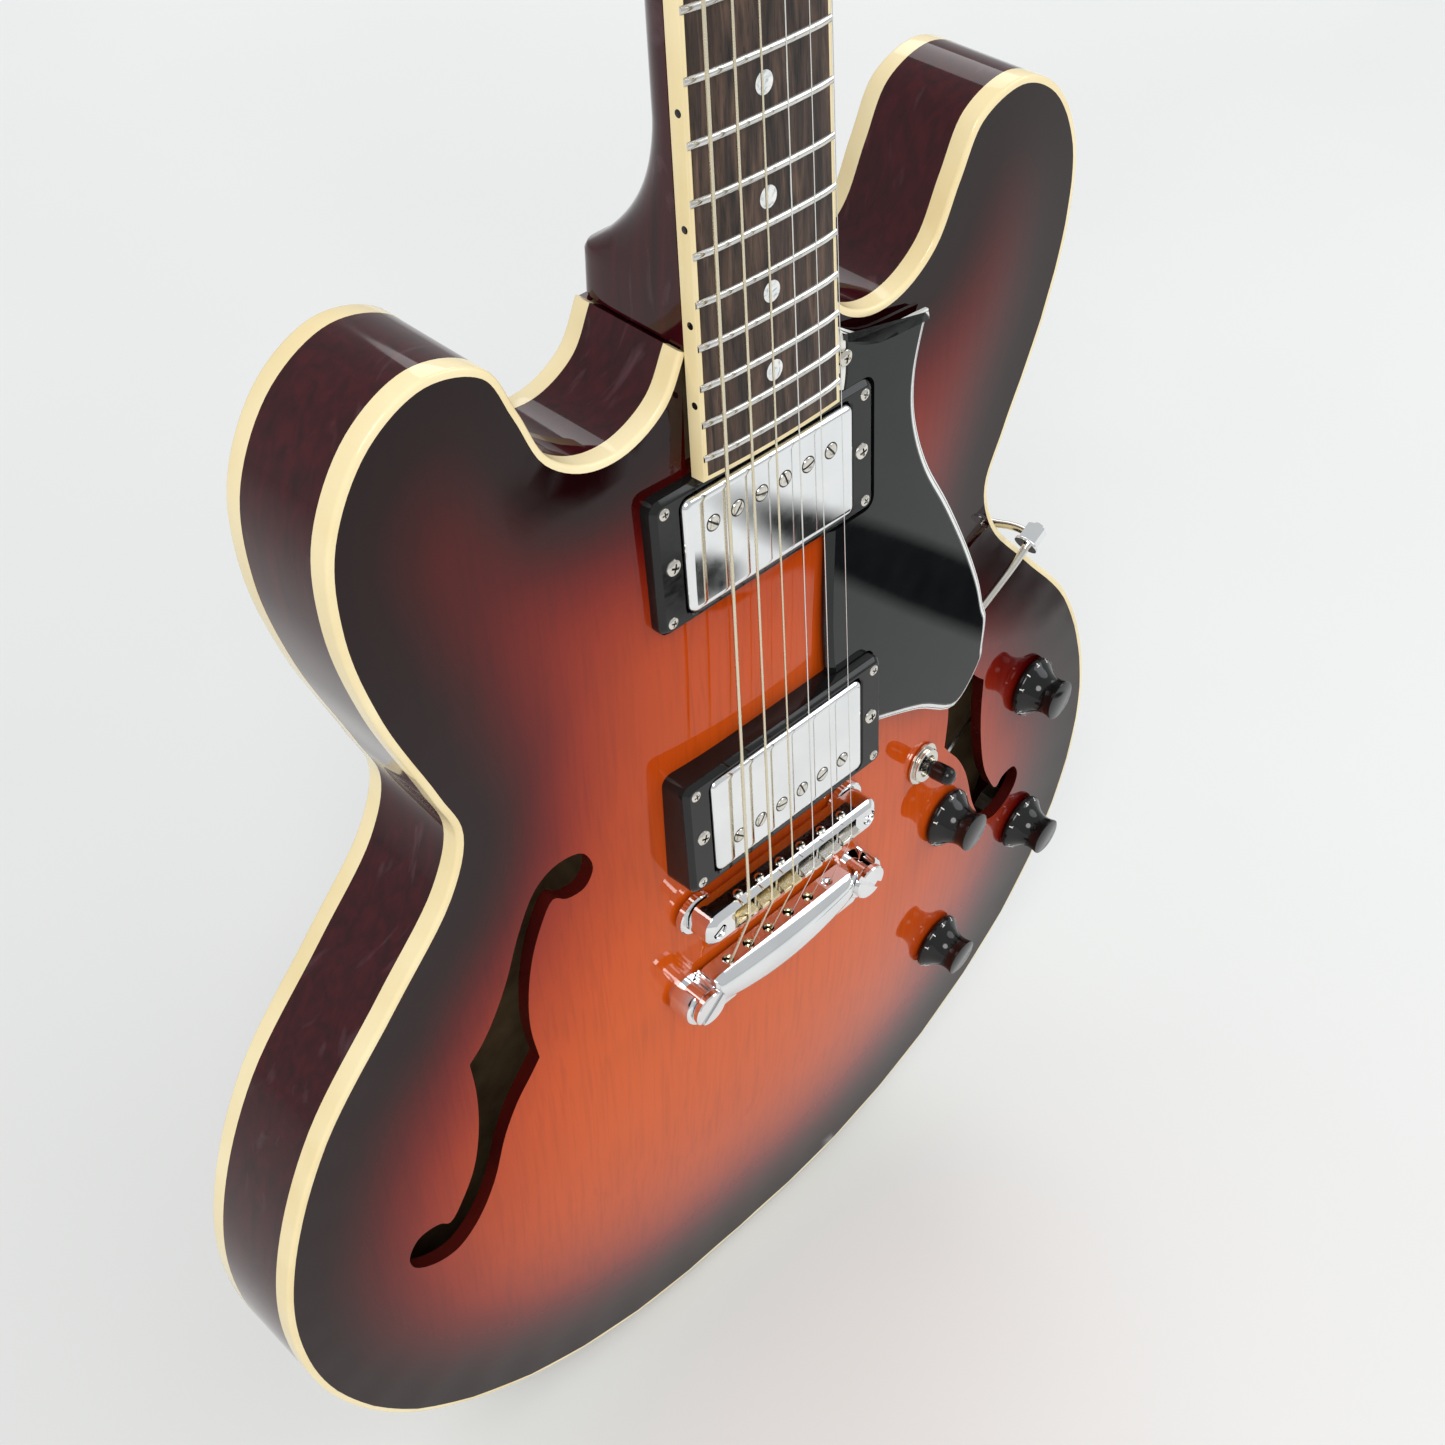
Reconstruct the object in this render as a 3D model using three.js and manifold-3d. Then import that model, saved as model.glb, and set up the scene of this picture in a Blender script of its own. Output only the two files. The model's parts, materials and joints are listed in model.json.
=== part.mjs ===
// A semi-hollow electric guitar with a double cutaway body, upright, in millimetres.
// X points to the treble side, the front faces -Y, and +Z runs up the neck.
// The origin is the centre of the end strap button's outer face.

import * as THREE from 'three';
import { mergeVertices } from 'three/addons/utils/BufferGeometryUtils.js';
import Module from 'manifold-3d';

const wasm = await Module();
wasm.setup();

// Strings, from bass to treble, and their scale

const scaleLength = 628;
const fretCount = 22;
const stringDiameters = [1.17, 0.91, 0.66, 0.43, 0.33, 0.25];
const stringCount = stringDiameters.length;
const stringSpreadAtBridge = 50.8;
const stringSpreadAtNut = 35.6;
const stringHeightAtBridge = 4;
const stringHeightAtNut = 1.4;

// Body

const bodyHalfWidth = 207.5;
const bodyLength = 487;
const bodyBelowBridge = 251;
const rimDepth = 41.5;
const topCrest = 12.5;
const backCrest = 8;
const archReach = 150;
const topThickness = 5;
const backThickness = 4.5;
const rimThickness = 5;
const liningReach = 7.6;
const bindingThickness = 2.2;
const bindingHeight = 6.3;
const blockHalfWidth = 57;

// Half of the body outline from the bottom centre to the neck, as shares of half width and of length

const outlineShares = [
  [0, 0], [0.3, 0.01], [0.58, 0.057], [0.83, 0.147], [0.965, 0.255], [1, 0.352], [0.97, 0.433],
  [0.875, 0.522], [0.72, 0.598], [0.605, 0.655], [0.572, 0.697], [0.6, 0.735], [0.668, 0.813],
  [0.7, 0.88], [0.69, 0.937], [0.625, 0.982], [0.535, 1], [0.445, 0.988], [0.403, 0.955],
  [0.362, 0.919], [0.3, 0.901], [0.235, 0.899], [0.172, 0.913], [0.138, 0.94],
];
const outlineStepsPerPoint = 2;

// Neck

const neckAngle = 4.35 * Math.PI / 180;
const boardPlaneAtBridge = 22.2;
const boardThickness = 6.3;
const boardRadius = 305;
const boardWidthAtNut = 43;
const boardWidthAtEnd = 55.6;
const boardEndFromBridge = 169;
const boardBindingThickness = 1.6;
const neckDepthAtNut = 15;
const neckDepthAtHeel = 17.5;
const heelLength = 17;
const headPitch = 15 * Math.PI / 180;
const headThickness = 15;
const headLength = 182;
const headHalfWidth = 43;

// Places on the body, from the centre line and from the bridge line

const neckPickupAboveBridge = 145.9;
const bridgePickupAboveBridge = 43.6;
const bridgePostFromCentre = 37;
const tailStudFromCentre = 41.2;
const tailStudBelowBridge = 37.2;
const firstKnobFromCentre = 161;
const firstKnobBelowBridge = 31;
const knobStepAcross = { x: -56, z: -30 };
const knobStepDown = { x: 8, z: -84 };
const switchFromCentre = 87;
const switchBelowBridge = 19.5;
const jackBelowBridge = 80;
const bracketAboveBridge = 58;
const strapButtonLength = 13;

// Clearances

const seam = 0.3;
const seat = 0.4;
const runningGap = 0.3;
const overrun = 20;
const tall = 80;

// Values that follow

const bodyBottom = strapButtonLength + seam;
const bridgeZ = bodyBottom + bodyBelowBridge;
const neckJointZ = bodyBottom + outlineShares.at(-1)[1] * bodyLength;
const frontY = (height) => -(rimDepth / 2 + height);
const signs = { bass: -1, treble: 1 };

// Materials

function finish(color, roughness, metalness) {
  return () => new THREE.MeshStandardMaterial({ color, roughness, metalness });
}

const finishes = {
  sunburst: finish(0x8a2a10, 0.12, 0),
  darkWood: finish(0x2a0a0c, 0.15, 0),
  bareWood: finish(0xc9a877, 0.7, 0),
  ivory: finish(0xeed9a4, 0.3, 0),
  rosewood: finish(0x3a221a, 0.6, 0),
  black: finish(0x101012, 0.25, 0),
  chrome: finish(0xd8dadc, 0.08, 1),
  nickel: finish(0xc8c4b8, 0.2, 1),
  bronze: finish(0xb9985a, 0.35, 1),
  steel: finish(0xc4c6c8, 0.25, 1),
  bone: finish(0xf0ead8, 0.4, 0),
};

const guitar = new THREE.Group();

function addMesh(parent, name, geometry, finishName) {
  const mesh = new THREE.Mesh(geometry, finishes[finishName]());
  mesh.name = name;
  parent.add(mesh);
}

// Solids and booleans; triangles that collapse on an axis are left out

function toSolid(geometry) {
  const bare = geometry.clone();
  bare.deleteAttribute('normal');
  bare.deleteAttribute('uv');
  const merged = mergeVertices(bare);
  const index = merged.index.array;
  const triangles = [];
  for (let i = 0; i < index.length; i += 3) {
    const [a, b, c] = index.slice(i, i + 3);
    if (a !== b && b !== c && c !== a) {
      triangles.push(a, b, c);
    }
  }
  return new wasm.Manifold(new wasm.Mesh({
    numProp: 3,
    vertProperties: new Float32Array(merged.attributes.position.array),
    triVerts: new Uint32Array(triangles),
  }));
}

function toGeometry(solid) {
  const mesh = solid.getMesh();
  const geometry = new THREE.BufferGeometry();
  const positions = new Float32Array(mesh.vertProperties);
  geometry.setAttribute('position', new THREE.BufferAttribute(positions, mesh.numProp));
  geometry.setIndex(new THREE.BufferAttribute(new Uint32Array(mesh.triVerts), 1));
  geometry.computeVertexNormals();
  return geometry;
}

const join = (...parts) => toGeometry(parts.map(toSolid).reduce((a, b) => a.add(b)));
const cut = (body, ...tools) => toGeometry(tools.map(toSolid).reduce((a, b) => a.subtract(b), toSolid(body)));
const common = (a, b) => toGeometry(toSolid(a).intersect(toSolid(b)));

// A closed body from points and triangles, turned so that its faces point out

function closedGeometry(points, faces) {
  const volume = faces.reduce((total, [a, b, c]) => {
    const [p, q, r] = [a, b, c].map((index) => new THREE.Vector3(...points[index]));
    return total + p.dot(q.cross(r));
  }, 0);
  const geometry = new THREE.BufferGeometry();
  geometry.setAttribute('position', new THREE.Float32BufferAttribute(points.flat(), 3));
  geometry.setIndex((volume < 0 ? faces.map(([a, b, c]) => [a, c, b]) : faces).flat());
  geometry.computeVertexNormals();
  return geometry;
}

// Rings of points, each with the same count, joined into one closed body

function loft(rings) {
  const count = rings[0].length;
  const last = (rings.length - 1) * count;
  const faces = [];
  for (let i = 0; i + 1 < rings.length; i += 1) {
    for (let k = 0; k < count; k += 1) {
      const a = i * count + k;
      const b = i * count + (k + 1) % count;
      faces.push([a, b, a + count], [b, b + count, a + count]);
    }
  }
  for (let k = 1; k + 1 < count; k += 1) {
    faces.push([0, k + 1, k], [last, last + k, last + k + 1]);
  }
  return closedGeometry(rings.flat(), faces);
}

// Plans are lists of [x, z]; a prism stands on one between two heights in front of a frame's zero

function prism(plan, highest, lowest) {
  const shape = new THREE.Shape(plan.map(([x, z]) => new THREE.Vector2(x, z)));
  const geometry = new THREE.ExtrudeGeometry(shape, { depth: highest - lowest, bevelEnabled: false });
  geometry.rotateX(Math.PI / 2);
  geometry.translate(0, -lowest, 0);
  return geometry;
}

// The same over the body, with heights measured from the front of the rim

const slab = (plan, highest, lowest) => prism(plan, highest, lowest).translate(0, frontY(0), 0);

function rectangle(halfX, lowZ, highZ, centreX = 0) {
  const [left, right] = [centreX - halfX, centreX + halfX];
  return [[left, lowZ], [right, lowZ], [right, highZ], [left, highZ]];
}

function roundedRectangle(halfX, halfZ, radius, z = 0, steps = 2) {
  const corners = [[1, -1, -0.5], [1, 1, 0], [-1, 1, 0.5], [-1, -1, 1]];
  return corners.flatMap(([signX, signZ, start]) => {
    const points = [];
    for (let i = 0; i <= steps; i += 1) {
      const angle = (start + 0.5 * i / steps) * Math.PI;
      points.push([
        signX * (halfX - radius) + radius * Math.cos(angle),
        z + signZ * (halfZ - radius) + radius * Math.sin(angle),
      ]);
    }
    return points;
  });
}

function circle(radius, x, z, steps = 16) {
  const points = [];
  for (let i = 0; i < steps; i += 1) {
    const angle = i / steps * 2 * Math.PI;
    points.push([x + radius * Math.cos(angle), z + radius * Math.sin(angle)]);
  }
  return points;
}

// A plan from the rows of its right half, mirrored over the centre line

const mirrored = (rows) => [...rows, ...rows.slice(0, -1).reverse().map(([x, z]) => [-x, z])];

// A turned piece from [radius, distance] pairs along an axis, by default towards the front

const forward = [0, -1, 0];

function turned(profile, steps = 16, direction = forward, origin = [0, 0, 0]) {
  const geometry = new THREE.LatheGeometry(profile.map(([r, d]) => new THREE.Vector2(r, d)), steps);
  const axis = new THREE.Vector3(...direction);
  const turn = new THREE.Quaternion().setFromUnitVectors(new THREE.Vector3(0, 1, 0), axis);
  return geometry.applyQuaternion(turn).translate(...origin);
}

function rod(radius, from, to, steps = 12) {
  const along = new THREE.Vector3(...to).sub(new THREE.Vector3(...from));
  const profile = [[0, 0], [radius, 0], [radius, along.length()], [0, along.length()]];
  return turned(profile, steps, along.normalize().toArray(), from);
}

// A round tube along a list of points, with a radius at each, and square ends

function tube(points, radii, sides) {
  const route = points.map((p) => new THREE.Vector3(...p));
  const side = new THREE.Vector3(1, 0, 0);
  const rings = route.map((point, i) => {
    const before = route[Math.max(i - 1, 0)];
    const after = route[Math.min(i + 1, route.length - 1)];
    const tangent = after.clone().sub(before).normalize();
    side.addScaledVector(tangent, -side.dot(tangent)).normalize();
    const other = tangent.clone().cross(side);
    return circle(radii[i], 0, 0, sides).map(([a, b]) => (
      point.clone().addScaledVector(side, a).addScaledVector(other, b).toArray()
    ));
  });
  return loft(rings);
}

function boxBetween(low, high) {
  const size = high.map((value, i) => value - low[i]);
  return new THREE.BoxGeometry(...size).translate(...low.map((value, i) => value + size[i] / 2));
}

// Body outline, from the bass side of the neck round the bottom to the treble side

const outlineRows = [...outlineShares.slice(1).reverse().map(([x, z]) => [-x, z]), ...outlineShares];
const outlineCurve = new THREE.CatmullRomCurve3(
  outlineRows.map(([x, z]) => new THREE.Vector3(x * bodyHalfWidth, 0, bodyBottom + z * bodyLength)),
  false,
  'centripetal',
);
const outlineSteps = outlineStepsPerPoint * (outlineRows.length - 1);

function bodyOutline(inset) {
  const points = [];
  for (let i = 0; i <= outlineSteps; i += 1) {
    const point = outlineCurve.getPoint(i / outlineSteps);
    const tangent = outlineCurve.getTangent(i / outlineSteps);
    points.push([point.x - inset * tangent.z, point.z + inset * tangent.x]);
  }
  return points;
}

const ribbon = (outerInset, innerInset) => [...bodyOutline(outerInset), ...bodyOutline(innerInset).reverse()];

// The arch rises with a smooth measure of the distance from the body's edge

const edgePoints = bodyOutline(0);
const edgePieces = edgePoints.map(([x, z], i) => {
  const [nextX, nextZ] = edgePoints[(i + 1) % edgePoints.length];
  return { x: (x + nextX) / 2, z: (z + nextZ) / 2, length: Math.hypot(nextX - x, nextZ - z) };
});

function archShare(x, z) {
  const sum = edgePieces.reduce((total, p) => total + p.length / Math.hypot(x - p.x, z - p.z) ** 4, 0);
  const share = Math.min(1, (sum / (Math.PI / 2)) ** (-1 / 3) / archReach);
  return share * share * (3 - 2 * share);
}

// Arched layers of one side share a grid, so that their facets lie parallel

function archGrid(step) {
  const columns = 2 * Math.ceil(bodyHalfWidth / step);
  const rows = Math.ceil(bodyLength / step);
  const corner = (column, row) => [(column - columns / 2) * step, bodyBottom + row * step];
  const shares = [];
  for (let row = 0; row <= rows; row += 1) {
    for (let column = 0; column <= columns; column += 1) {
      shares.push(archShare(...corner(column, row)));
    }
  }
  return { step, columns, rows, corner, share: (column, row) => shares[row * (columns + 1) + column] };
}

const topGridStep = 25;
const backGridStep = 34;
const topGrid = archGrid(topGridStep);
const backGrid = archGrid(backGridStep);

// Height of a faceted plate over its side of the rim

function plateHeight(grid, crest, x, z) {
  const u = x / grid.step + grid.columns / 2;
  const v = (z - bodyBottom) / grid.step;
  const column = Math.min(Math.floor(u), grid.columns - 1);
  const row = Math.min(Math.floor(v), grid.rows - 1);
  const a = u - column;
  const b = v - row;
  const right = grid.share(column + 1, row);
  const above = grid.share(column, row + 1);
  const share = a + b <= 1
    ? grid.share(column, row) * (1 - a - b) + right * a + above * b
    : grid.share(column + 1, row + 1) * (a + b - 1) + above * (1 - a) + right * (1 - b);
  return crest * share;
}

const topHeight = (x, z) => plateHeight(topGrid, topCrest, x, z);
const backHeight = (x, z) => plateHeight(backGrid, backCrest, x, z);

// The highest point of a plate under a round foot

function highestUnder(x, z, radius, height = topHeight) {
  return Math.max(...[[x, z], ...circle(radius, x, z)].map(([px, pz]) => height(px, pz)));
}

// A layer between two surfaces, each [crest, level], over the columns that a half width touches

function archedLayer(grid, upper, lower, halfWidth = bodyHalfWidth) {
  const first = Math.max(0, Math.floor(grid.columns / 2 - halfWidth / grid.step));
  const columns = grid.columns - 2 * first + 1;
  const rows = grid.rows + 1;
  const points = [upper, lower].flatMap(([crest, level]) => {
    const sheet = [];
    for (let row = 0; row < rows; row += 1) {
      for (let column = first; column < first + columns; column += 1) {
        const [x, z] = grid.corner(column, row);
        sheet.push([x, frontY(level + crest * grid.share(column, row)), z]);
      }
    }
    return sheet;
  });
  const under = columns * rows;
  const faces = [];
  for (let r = 0; r + 1 < rows; r += 1) {
    for (let c = 0; c + 1 < columns; c += 1) {
      const a = r * columns + c;
      faces.push([a, a + 1, a + columns], [a + 1, a + columns + 1, a + columns]);
      faces.push([under + a, under + a + columns, under + a + 1]);
      faces.push([under + a + 1, under + a + columns, under + a + columns + 1]);
    }
  }
  const wall = (a, b) => faces.push([a, under + a, b], [b, under + a, under + b]);
  for (let c = 0; c + 1 < columns; c += 1) {
    wall(c, c + 1);
    wall((rows - 1) * columns + c + 1, (rows - 1) * columns + c);
  }
  for (let r = 0; r + 1 < rows; r += 1) {
    wall((r + 1) * columns, r * columns);
    wall(r * columns + columns - 1, (r + 1) * columns + columns - 1);
  }
  return closedGeometry(points, faces);
}

// All that lies in front of the top, less a seat clearance

const aboveTop = (halfWidth) => archedLayer(topGrid, [0, tall], [topCrest, seat], halfWidth);

// A frame on the top whose -Y axis is the top's outward normal there

function seatedGroup(x, z) {
  const reach = topGrid.step / 2;
  const slopeX = (topHeight(x + reach, z) - topHeight(x - reach, z)) / (2 * reach);
  const slopeZ = (topHeight(x, z + reach) - topHeight(x, z - reach)) / (2 * reach);
  const normal = new THREE.Vector3(-slopeX, -1, -slopeZ).normalize();
  const group = new THREE.Group();
  group.position.set(x, frontY(topHeight(x, z)), z);
  group.quaternion.setFromUnitVectors(new THREE.Vector3(...forward), normal);
  guitar.add(group);
  group.updateMatrixWorld(true);
  return group;
}

const placed = (geometry, group) => geometry.clone().applyMatrix4(group.matrixWorld);

// Neck frame: its origin lies on the fingerboard's plane at the bridge line, and +Z runs up the board

const neck = new THREE.Group();
neck.position.set(0, frontY(boardPlaneAtBridge), bridgeZ);
neck.rotation.x = -neckAngle;
guitar.add(neck);
neck.updateMatrixWorld(true);

const inNeck = (geometry) => geometry.clone().applyMatrix4(neck.matrixWorld.clone().invert());
const boardPlaneHeight = (z) => boardPlaneAtBridge - (z - bridgeZ) * Math.tan(neckAngle);
const fromBridge = (fret) => scaleLength * 2 ** (-fret / 12);
const boardDrop = (x) => boardRadius - Math.sqrt(boardRadius ** 2 - x ** 2);
const underBoard = boardThickness + seam;

function boardWidth(s) {
  const share = (scaleLength - s) / (scaleLength - boardEndFromBridge);
  return boardWidthAtNut + (boardWidthAtEnd - boardWidthAtNut) * share;
}

// A piece laid across the board: a loft of [depth, s] sections along X

function acrossBoard(halfLength, section) {
  const steps = 2;
  const rings = [];
  for (let i = 0; i <= steps; i += 1) {
    const x = halfLength * (2 * i / steps - 1);
    rings.push(section(boardDrop(x)).map(([y, s]) => [x, y, s]));
  }
  return loft(rings);
}

// Fingerboard with its frets

const fretWidth = 2.4;
const fretHeight = 1.1;
const fretTang = 0.5;
const fretCrownShare = 0.3;
const boardInset = boardBindingThickness + seam;
const boardStart = boardEndFromBridge + boardInset;

function boardSection(s) {
  const halfWidth = boardWidth(s) / 2 - boardInset;
  const steps = 2;
  const points = [];
  for (let i = 0; i <= steps; i += 1) {
    const x = halfWidth * (2 * i / steps - 1);
    points.push([x, boardDrop(x), s]);
  }
  return [...points, [halfWidth, boardThickness, s], [-halfWidth, boardThickness, s]];
}

const frets = [];
for (let fret = 1; fret <= fretCount; fret += 1) {
  const s = fromBridge(fret);
  frets.push(acrossBoard(boardWidth(s) / 2 - boardInset, (drop) => [
    [drop + fretTang, s - fretWidth / 2],
    [drop, s - fretWidth / 2],
    [drop - fretHeight, s - fretCrownShare * fretWidth],
    [drop - fretHeight, s + fretCrownShare * fretWidth],
    [drop, s + fretWidth / 2],
    [drop + fretTang, s + fretWidth / 2],
  ]));
}
addMesh(neck, 'fingerboard', join(loft([boardStart, scaleLength].map(boardSection)), ...frets), 'rosewood');

// Fingerboard binding, round both sides and the lower end

function bindingRing(x, s, inwardX, inwardS) {
  const top = boardDrop(x);
  return [
    [x, top, s],
    [x + inwardX, top, s + inwardS],
    [x + inwardX, boardThickness, s + inwardS],
    [x, boardThickness, s],
  ];
}

const nutHalf = boardWidthAtNut / 2;
const endHalf = boardWidthAtEnd / 2;
addMesh(neck, 'fingerboard_binding', loft([
  bindingRing(-nutHalf, scaleLength, boardBindingThickness, 0),
  bindingRing(-endHalf, boardEndFromBridge, boardBindingThickness, boardBindingThickness),
  bindingRing(0, boardEndFromBridge, 0, boardBindingThickness),
  bindingRing(endHalf, boardEndFromBridge, -boardBindingThickness, boardBindingThickness),
  bindingRing(nutHalf, scaleLength, -boardBindingThickness, 0),
]), 'ivory');

// Nut: its top follows the strings

const nutThickness = 5;
const nutStart = scaleLength + seam;
const nutEnd = nutStart + nutThickness;
const nutOuterDrop = boardDrop(stringSpreadAtNut / 2);
const nutRise = stringHeightAtNut - stringDiameters[0] / 2 - seam + nutOuterDrop;
addMesh(neck, 'nut', acrossBoard(nutHalf, (drop) => [
  [drop - nutRise, nutStart],
  [drop - nutRise, nutEnd],
  [boardThickness, nutEnd],
  [boardThickness, nutStart],
]), 'bone');

// Strap buttons with their screws

const strapHeadRadius = 7.5;
const strapWaistRadius = 4.6;
const strapFootRadius = 6.4;
const strapScrewRadius = 2;
const strapScrewLength = 26;
const strapHeadShares = [[1, 0], [1, 0.16], [0.9, 0.3]];
const strapWaistShares = [0.42, 0.72];

function strapButton(direction, origin) {
  return turned([
    [0, 0],
    ...strapHeadShares.map(([r, d]) => [r * strapHeadRadius, d * strapButtonLength]),
    ...strapWaistShares.map((d) => [strapWaistRadius, d * strapButtonLength]),
    [strapFootRadius, strapButtonLength],
    [strapScrewRadius, strapButtonLength],
    [strapScrewRadius, strapButtonLength + strapScrewLength],
    [0, strapButtonLength + strapScrewLength],
  ], 16, direction, origin);
}

const strapBore = (direction, origin) => turned([
  [0, 0],
  [strapScrewRadius + runningGap, 0],
  [strapScrewRadius + runningGap, strapButtonLength + strapScrewLength + seam],
  [0, strapButtonLength + strapScrewLength + seam],
], 10, direction, origin);

const endButtonPlace = [[0, 0, 1], [0, 0, 0]];
const backButtonBelowJoint = 18;
const backButtonZ = neckJointZ - backButtonBelowJoint;
const backButtonFoot = highestUnder(0, backButtonZ, strapFootRadius, backHeight) + seam;
const backButtonPlace = [forward, [0, rimDepth / 2 + backButtonFoot + strapButtonLength, backButtonZ]];
addMesh(guitar, 'end_strap_button', strapButton(...endButtonPlace), 'chrome');
addMesh(guitar, 'back_strap_button', strapButton(...backButtonPlace), 'chrome');

// Neck shaft

const nutShelf = 2;
const shaftStart = neckJointZ - bridgeZ + heelLength;
const shaftEnd = nutEnd + nutShelf;
const bellyShare = 0.8;

function shaftSection(s, depth) {
  const steps = 8;
  const halfWidth = boardWidth(Math.min(s, scaleLength)) / 2;
  const points = [];
  for (let i = 0; i <= steps; i += 1) {
    const angle = i / steps * Math.PI;
    points.push([halfWidth * Math.cos(angle), underBoard + depth * Math.sin(angle) ** bellyShare, s]);
  }
  return points;
}

const shaft = loft([shaftSection(shaftStart, neckDepthAtHeel), shaftSection(shaftEnd, neckDepthAtNut)]);

// The heel sweeps from the shaft down to the back of the rim

const heelHalfWidth = 27;
const heelFlatHalf = 22;
const heelHalfAtShaft = 15;
const heelFlatAtShaft = 6;
const heelCurveLength = 36;
const heelCurveSteps = 5;
const heelSideShare = 0.2;
const heelCornerShare = 0.78;

function heelSection(z, sweep) {
  const top = boardPlaneHeight(z) - underBoard;
  const depth = neckDepthAtHeel + (top + rimDepth - neckDepthAtHeel) * (1 - sweep);
  const side = boardWidth(z - bridgeZ) / 2;
  const corner = heelHalfWidth + (heelHalfAtShaft - heelHalfWidth) * sweep;
  const flat = heelFlatHalf + (heelFlatAtShaft - heelFlatHalf) * sweep;
  const half = [
    [side, top],
    [side, top - depth * heelSideShare],
    [corner, top - depth * heelCornerShare],
    [flat, top - depth],
  ];
  const whole = [...half, ...half.map(([x, height]) => [-x, height]).reverse()];
  return whole.map(([x, height]) => [x, frontY(height), z]);
}

const heelRings = [heelSection(neckJointZ + seam, 0)];
for (let i = 0; i <= heelCurveSteps; i += 1) {
  const angle = i / heelCurveSteps * Math.PI / 2;
  const z = neckJointZ + seam + heelLength + heelCurveLength * (1 - Math.cos(angle));
  heelRings.push(heelSection(z, Math.sin(angle)));
}
const heel = inNeck(loft(heelRings));

const tenonHalfWidth = 19;
const tenonLength = 36;
const tenonDepth = 30;
const tenonPlan = rectangle(tenonHalfWidth, neckJointZ - tenonLength, neckJointZ + heelLength);
const tenon = inNeck(slab(tenonPlan, -topThickness - seam, -tenonDepth));

// Headstock, in a frame pitched back at the far side of the nut

const head = new THREE.Group();
head.position.set(0, underBoard, shaftEnd);
head.rotation.x = -headPitch;
neck.add(head);
head.updateMatrixWorld(true);

const headShares = [
  [0.5, -0.005], [0.56, 0.06], [0.8, 0.2], [0.93, 0.6], [1, 0.93], [0.82, 0.975], [0.42, 0.995], [0, 1],
];
const headPlan = mirrored(headShares).map(([x, s]) => [x * headHalfWidth, s * headLength]);
const headBlock = prism(headPlan, 0, -headThickness).applyMatrix4(head.matrix);

function headSideAt(s) {
  const next = headShares.findIndex(([, share]) => share > s / headLength);
  const [lowX, lowShare] = headShares[next - 1];
  const [highX, highShare] = headShares[next];
  return headHalfWidth * (lowX + (highX - lowX) * (s / headLength - lowShare) / (highShare - lowShare));
}

// Tuner places, three a side

const firstTunerFromNut = 42;
const tunerPitch = 42;
const tunerInset = 12;
const tuners = stringDiameters.map((diameter, k) => {
  const s = firstTunerFromNut + Math.min(k, stringCount - 1 - k) * tunerPitch;
  const sign = k < stringCount / 2 ? signs.bass : signs.treble;
  return { sign, s, edge: headSideAt(s), x: sign * (headSideAt(s) - tunerInset) };
});

// Neck, with its truss rod channel and post holes

const postRadius = 3;
const postHoleRadius = 5;
const trussChannelHalf = 3.4;
const trussChannelDepth = 9.5;
const trussPocketLength = 24;
const trussChannel = prism(
  rectangle(trussChannelHalf, shaftStart, shaftEnd + trussPocketLength),
  overrun,
  -(underBoard + trussChannelDepth),
);
const postHoles = tuners.map(({ x, s }) => (
  prism(circle(postHoleRadius, x, s, 10), overrun, -overrun - headThickness).applyMatrix4(head.matrix)
));
const neckBody = join(shaft, heel, tenon, headBlock);
const backButtonBore = strapBore(...backButtonPlace);
const neckCuts = [trussChannel, ...postHoles, inNeck(backButtonBore)];
addMesh(neck, 'neck', cut(neckBody, ...neckCuts), 'darkWood');

// Truss rod with its adjusting nut, and the cover over its pocket

const trussRodRadius = 2.4;
const trussNutRadius = 3;
const trussNutLength = 12;
const trussNutReach = 6;
const trussAxis = underBoard + trussChannelDepth / 2;
addMesh(neck, 'truss_rod', join(
  rod(trussRodRadius, [0, trussAxis, shaftStart + seam], [0, trussAxis, shaftEnd], 8),
  rod(trussNutRadius, [0, trussAxis, shaftEnd - trussNutLength], [0, trussAxis, shaftEnd + trussNutReach], 6),
), 'steel');

const coverLength = 46;
const coverHalfWidth = 11;
const coverThickness = 1.8;
const coverFromNut = 3;
const coverShares = [[1, 0], [0.95, 0.25], [0.5, 0.6], [0.42, 0.8], [0.28, 0.95], [0, 1]];
const coverPlan = mirrored(coverShares).map(([x, s]) => [x * coverHalfWidth, coverFromNut + s * coverLength]);
addMesh(head, 'truss_rod_cover', prism(coverPlan, seam + coverThickness, seam), 'black');

// Tuner housings: a plate with three gear cans on each side of the back

const plateThickness = 1.5;
const plateHalfWidth = 6.5;
const plateOverhang = 10;
const canHalf = 7;
const canDepth = 11;
const wormRadius = 2;
const headBack = headThickness + seam;
const wormAxis = headBack + (plateThickness + canDepth) / 2;
const postFoot = wormAxis - wormRadius - 3 * runningGap;

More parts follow.
